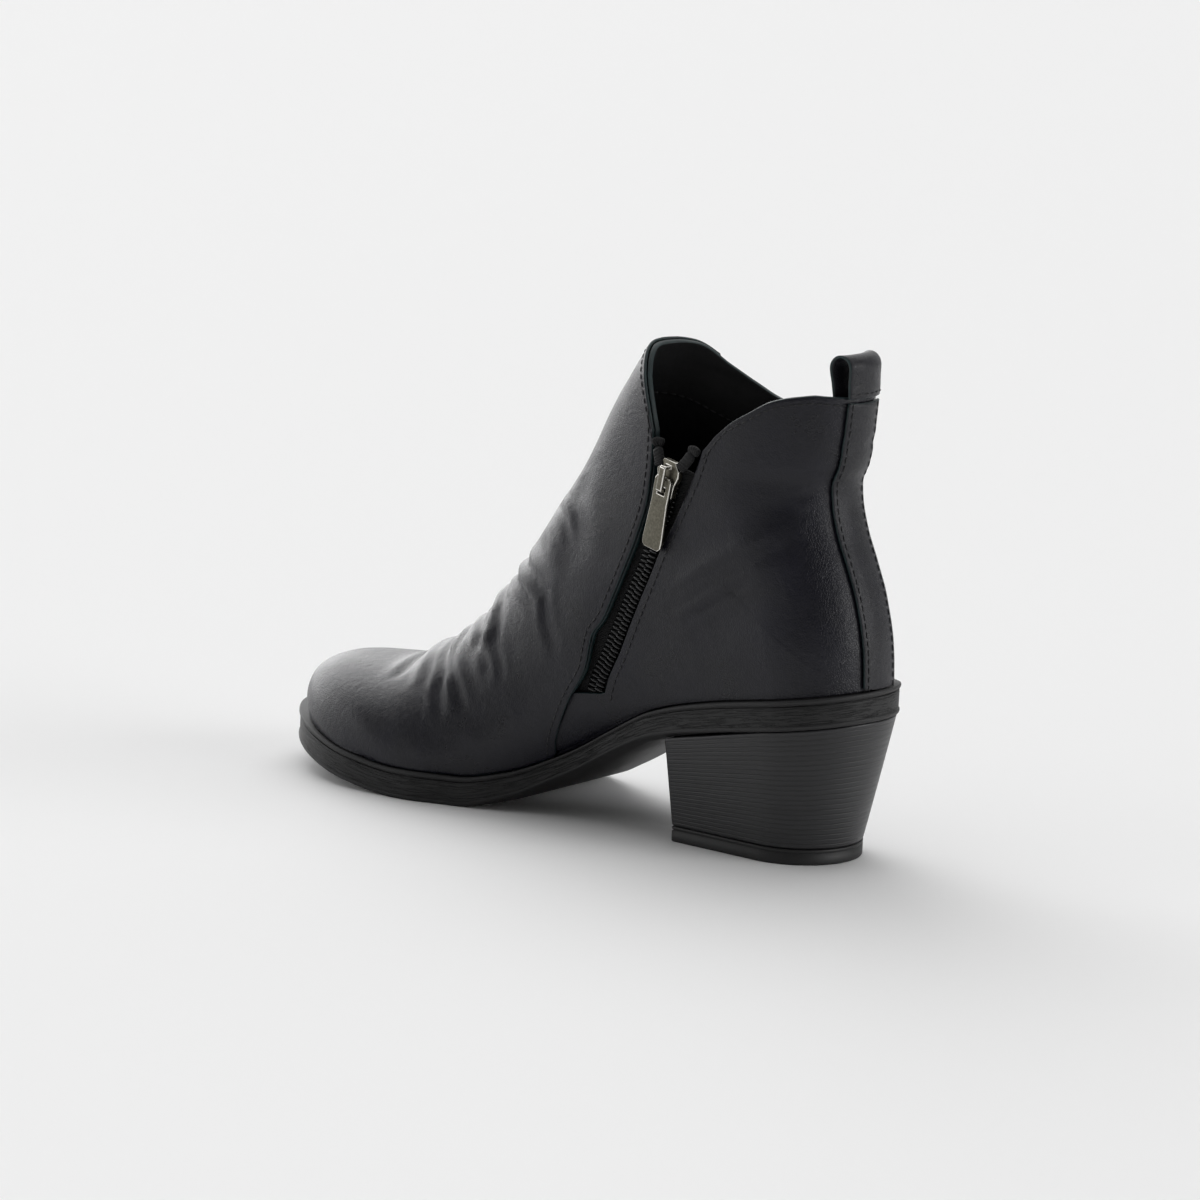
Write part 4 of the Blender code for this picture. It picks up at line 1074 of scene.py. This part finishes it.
def runRows(name, tree, lines, settings, finish):
    # runs the tree on every line and joins the plain meshes into one piece
    work = bmesh.new()
    for line in lines:
        change = line.modifiers.new("row", "NODES")
        change.node_group = tree
        wanted = dict(settings, Finish=finish)
        for item in tree.interface.items_tree:
            if item.in_out == "INPUT" and item.name in wanted:
                change[item.identifier] = wanted[item.name]
        ready = line.evaluated_get(bpy.context.evaluated_depsgraph_get())
        plain = bpy.data.meshes.new_from_object(ready)
        work.from_mesh(plain)
        bpy.data.meshes.remove(plain)
        line.modifiers.remove(change)
        bpy.data.objects.remove(line)
    bmesh.ops.recalc_face_normals(work, faces=work.faces)
    joined = bpy.data.meshes.new(name)
    work.to_mesh(joined)
    work.free()
    joined.shade_smooth()
    joined.materials.append(finish)
    return newObject(name, joined)


stitch = {"Pitch": 3.3 * mm, "Length": 2.7 * mm, "Width": 0.62 * mm, "Height": 0.5 * mm}
seam = {
    "vampIn": 2.4 * mm, "zipIn": 2.8 * mm, "collarIn": 2.6 * mm, "stripIn": 1.7 * mm, "liningIn": 20 * mm,
    "overSole": 2.5 * mm, "proud": 0.1 * mm,
}


def sideOffset(table, low, high, distance):  # line parallel to an edge in the side view
    up = np.linspace(low, high, 160)
    return beside(smooth(table, 1, up) * soleLength, seatLevel + up * backHeight, distance)


def collarLine(spread, depth, down):  # line at a distance under the collar
    part = np.linspace(0.004, 0.996, 260)
    top = np.full(len(part), lastRow - 1.5)
    for _ in range(12):
        top = collarRow(spread(top, part))
    place = spread(top, part)
    under = form(top, place) - form(top - 0.02, place)
    rate = np.abs(under[:, 2]) / 0.02
    return skin(top - down / rate, place, depth)


onQuarter = last["quarterDepth"] + seam["proud"]
lines = []
for sign in (1, -1):
    x, z = sideOffset(vampEdge, -.44, 1.05, seam["vampIn"])
    keep = z > soleTop(x) + seam["overSole"]
    row, place = onSide(x[keep], z[keep], sign)
    keep = row < collarRow(place) - 0.02
    lines.append(pathMesh("vampSeam", skin(row[keep], place[keep], seam["proud"])))
row, place = onSide(*sideOffset(hindEdge, -.15, .78, -seam["zipIn"]))
lines.append(pathMesh("zipSeam", skin(row, place, onQuarter)))
for name, spread, depth, down in (
    ("frontCollar", vampSpread, seam["proud"], seam["collarIn"]),
    ("innerCollar", quarterSpread, onQuarter, seam["collarIn"]),
    ("outerCollar", lambda row, part: -1 + (1 - vampReach(row, -1)) * part, onQuarter, seam["collarIn"]),
    ("liningSeam", frontSpread, last["liningDepth"] - seam["proud"], seam["liningIn"]),
):
    lines.append(pathMesh(name, collarLine(spread, depth, down)))
for sign in (1, -1):
    rows = heelRow + (lastRow - heelRow) * np.linspace(0.01, strip["top"] - 0.01, 120)
    out = np.full(len(rows), sign * (strip["width"] / 2 - seam["stripIn"]))
    lines.append(pathMesh("stripSeam", skin(rows, stripPlace(rows, out), 0.08 * mm)))
lines.append(pathMesh("loopSeam", loopOuter[3, 1:-1] + np.array([-seam["proud"], 0, 0])))
stitches = runRows("seam_stitches", stitchTree, lines, stitch, thread)
riding(stitches, "boot", "upper_leather")
print("stitches made")


def chainLine(side, shift):  # middle of one row of coil turns
    up = np.linspace(slotFoot + .02, zipper["sliderUp"], 240) + shift
    row, across = onSide(*beside(*zipSideView(up), side))
    depth = tapeTop + last["gap"] + zipper["coilRise"]
    point = skin(row, across, depth, False)
    outward = skin(row, across, depth + mm, False) - point
    return pathMesh("coil", point, outward / np.linalg.norm(outward, axis=1, keepdims=True))


halfPitch = zipper["pitch"] / 2 / backHeight
lines = [chainLine(zipper["coilSide"], 0.0), chainLine(-zipper["coilSide"], halfPitch)]
turn = {
    "Pitch": zipper["pitch"], "Length": zipper["wire"], "Width": zipper["coilWidth"],
    "Height": zipper["coilHeight"],
}
coil = runRows("zip_coil_turns", coilTree, lines, turn, nylon)
riding(coil, "boot", "zip_coil", "zip_chain")
print("zip made")


slider = {"bevel": 0.35 * mm, "pullBevel": 0.3 * mm}


def polished(name, nodeName, bevel):
    # copy of a solid with its doubles merged, its edges rounded and the rims buffed bright
    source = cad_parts[nodeName]
    work = bmesh.new()
    work.from_mesh(source.data)
    bmesh.ops.remove_doubles(work, verts=work.verts, dist=1e-6)
    bmesh.ops.dissolve_limit(work, angle_limit=0.02, verts=work.verts, edges=work.edges)
    bmesh.ops.recalc_face_normals(work, faces=work.faces)
    plain = bpy.data.meshes.new(name)
    work.to_mesh(plain)
    work.free()
    plain.materials.append(nickelDark)
    plain.materials.append(nickelBright)
    item = newObject(name, plain)
    edge = item.modifiers.new("rim", "BEVEL")
    edge.width = bevel
    edge.segments = 3
    edge.limit_method = "ANGLE"
    edge.material = 1
    done = bpy.data.meshes.new_from_object(item.evaluated_get(bpy.context.evaluated_depsgraph_get()))
    item.modifiers.remove(edge)
    item.data = done
    done.shade_smooth()
    done.set_sharp_from_angle(angle=0.6)
    return item


riding(polished("zip_slider", "slider_body", slider["bevel"]), "boot", "zip_metal", "slider_body")
riding(polished("zip_pull", "pull_tab", slider["pullBevel"]), "tab", "zip_metal", "pull_tab")
print("slider and pull made")


studio = {"floor": "#f2f2f2", "sky": "#f7f7f7", "size": 30.0, "room": 0.07, "overhead": 1.24}
# Soft lamps round the shoe: direction, radius of the full part and of the edge in degrees, strength
lamps = [
    ((0.88, -0.35, 0.30), 12, 36, 3.5), ((-0.9, -0.3, 0.2), 8, 28, 4.5), ((0.6, -0.8, 0.25), 25, 60, 0.8),
    ((0.85, 0.5, 0.16), 8, 26, 1.5), ((0.4, 0.8, 0.4), 20, 45, 0.25),
]


def makeFloor():
    size = studio["size"]
    flat = bpy.data.meshes.new("floor")
    corners = [(-size, -size, 0), (size, -size, 0), (size, size, 0), (-size, size, 0)]
    flat.from_pydata(corners, [], [(0, 1, 2, 3)])
    finish, _ = newMaterial("matt pale floor", Roughness=0.9, Base_Color=linear(studio["floor"]))
    flat.materials.append(finish)
    item = newObject("floor", flat)


def makeWorld():  # a dim white tent with a few soft lamps in it
    world = bpy.data.worlds.new("studio")
    world.use_nodes = True
    tree = world.node_tree
    where = addNode(tree, "ShaderNodeTexCoord", "Generated")
    total = studio["room"]
    for aim, inside, outside, power in lamps:
        low, high = np.cos(np.radians([outside, inside]))
        aim = Vector(aim).normalized()
        toward = addNode(tree, "ShaderNodeVectorMath", "Value", {0: where, 1: aim}, operation="DOT_PRODUCT")
        glow = addNode(
            tree, "ShaderNodeMapRange", "Result",
            {"Value": toward, "From Min": low, "From Max": high, "To Max": power},
            interpolation_type="SMOOTHSTEP")
        total = maths(tree, "ADD", glow, total)
    sky = tree.nodes["Background"]
    sky.inputs["Color"].default_value = linear(studio["sky"])
    tree.links.new(total, sky.inputs["Strength"])
    bpy.context.scene.world = world


makeFloor()
makeWorld()
overhead = bpy.data.lights.new("overhead", "SUN")  # a wide, even light over the whole floor
overhead.energy = studio["overhead"]
overhead.angle = 1.3
newObject("overhead", overhead).rotation_euler = (0.25, 0.2, 0)

lens = {
    "place": (-1.29605, 1.8438, 0.5578), "right": (-.7929, -.6076, .0458), "up": (.1593, -.1341, .9781),
    "focal": 186.0,
}
camera = bpy.data.cameras.new("camera")
camera.lens = lens["focal"]
camera.sensor_width = 36
camera.clip_start = 0.05
view = newObject("camera", camera)
right = Vector(lens["right"]).normalized()
up = Vector(lens["up"]).normalized()
back = right.cross(up).normalized()
turned = Matrix((right, up, back)).transposed().to_4x4()
turned.translation = Vector(lens["place"])
view.matrix_world = turned
bpy.context.scene.camera = view
bpy.context.scene.view_settings.view_transform = "Standard"
print("studio made")
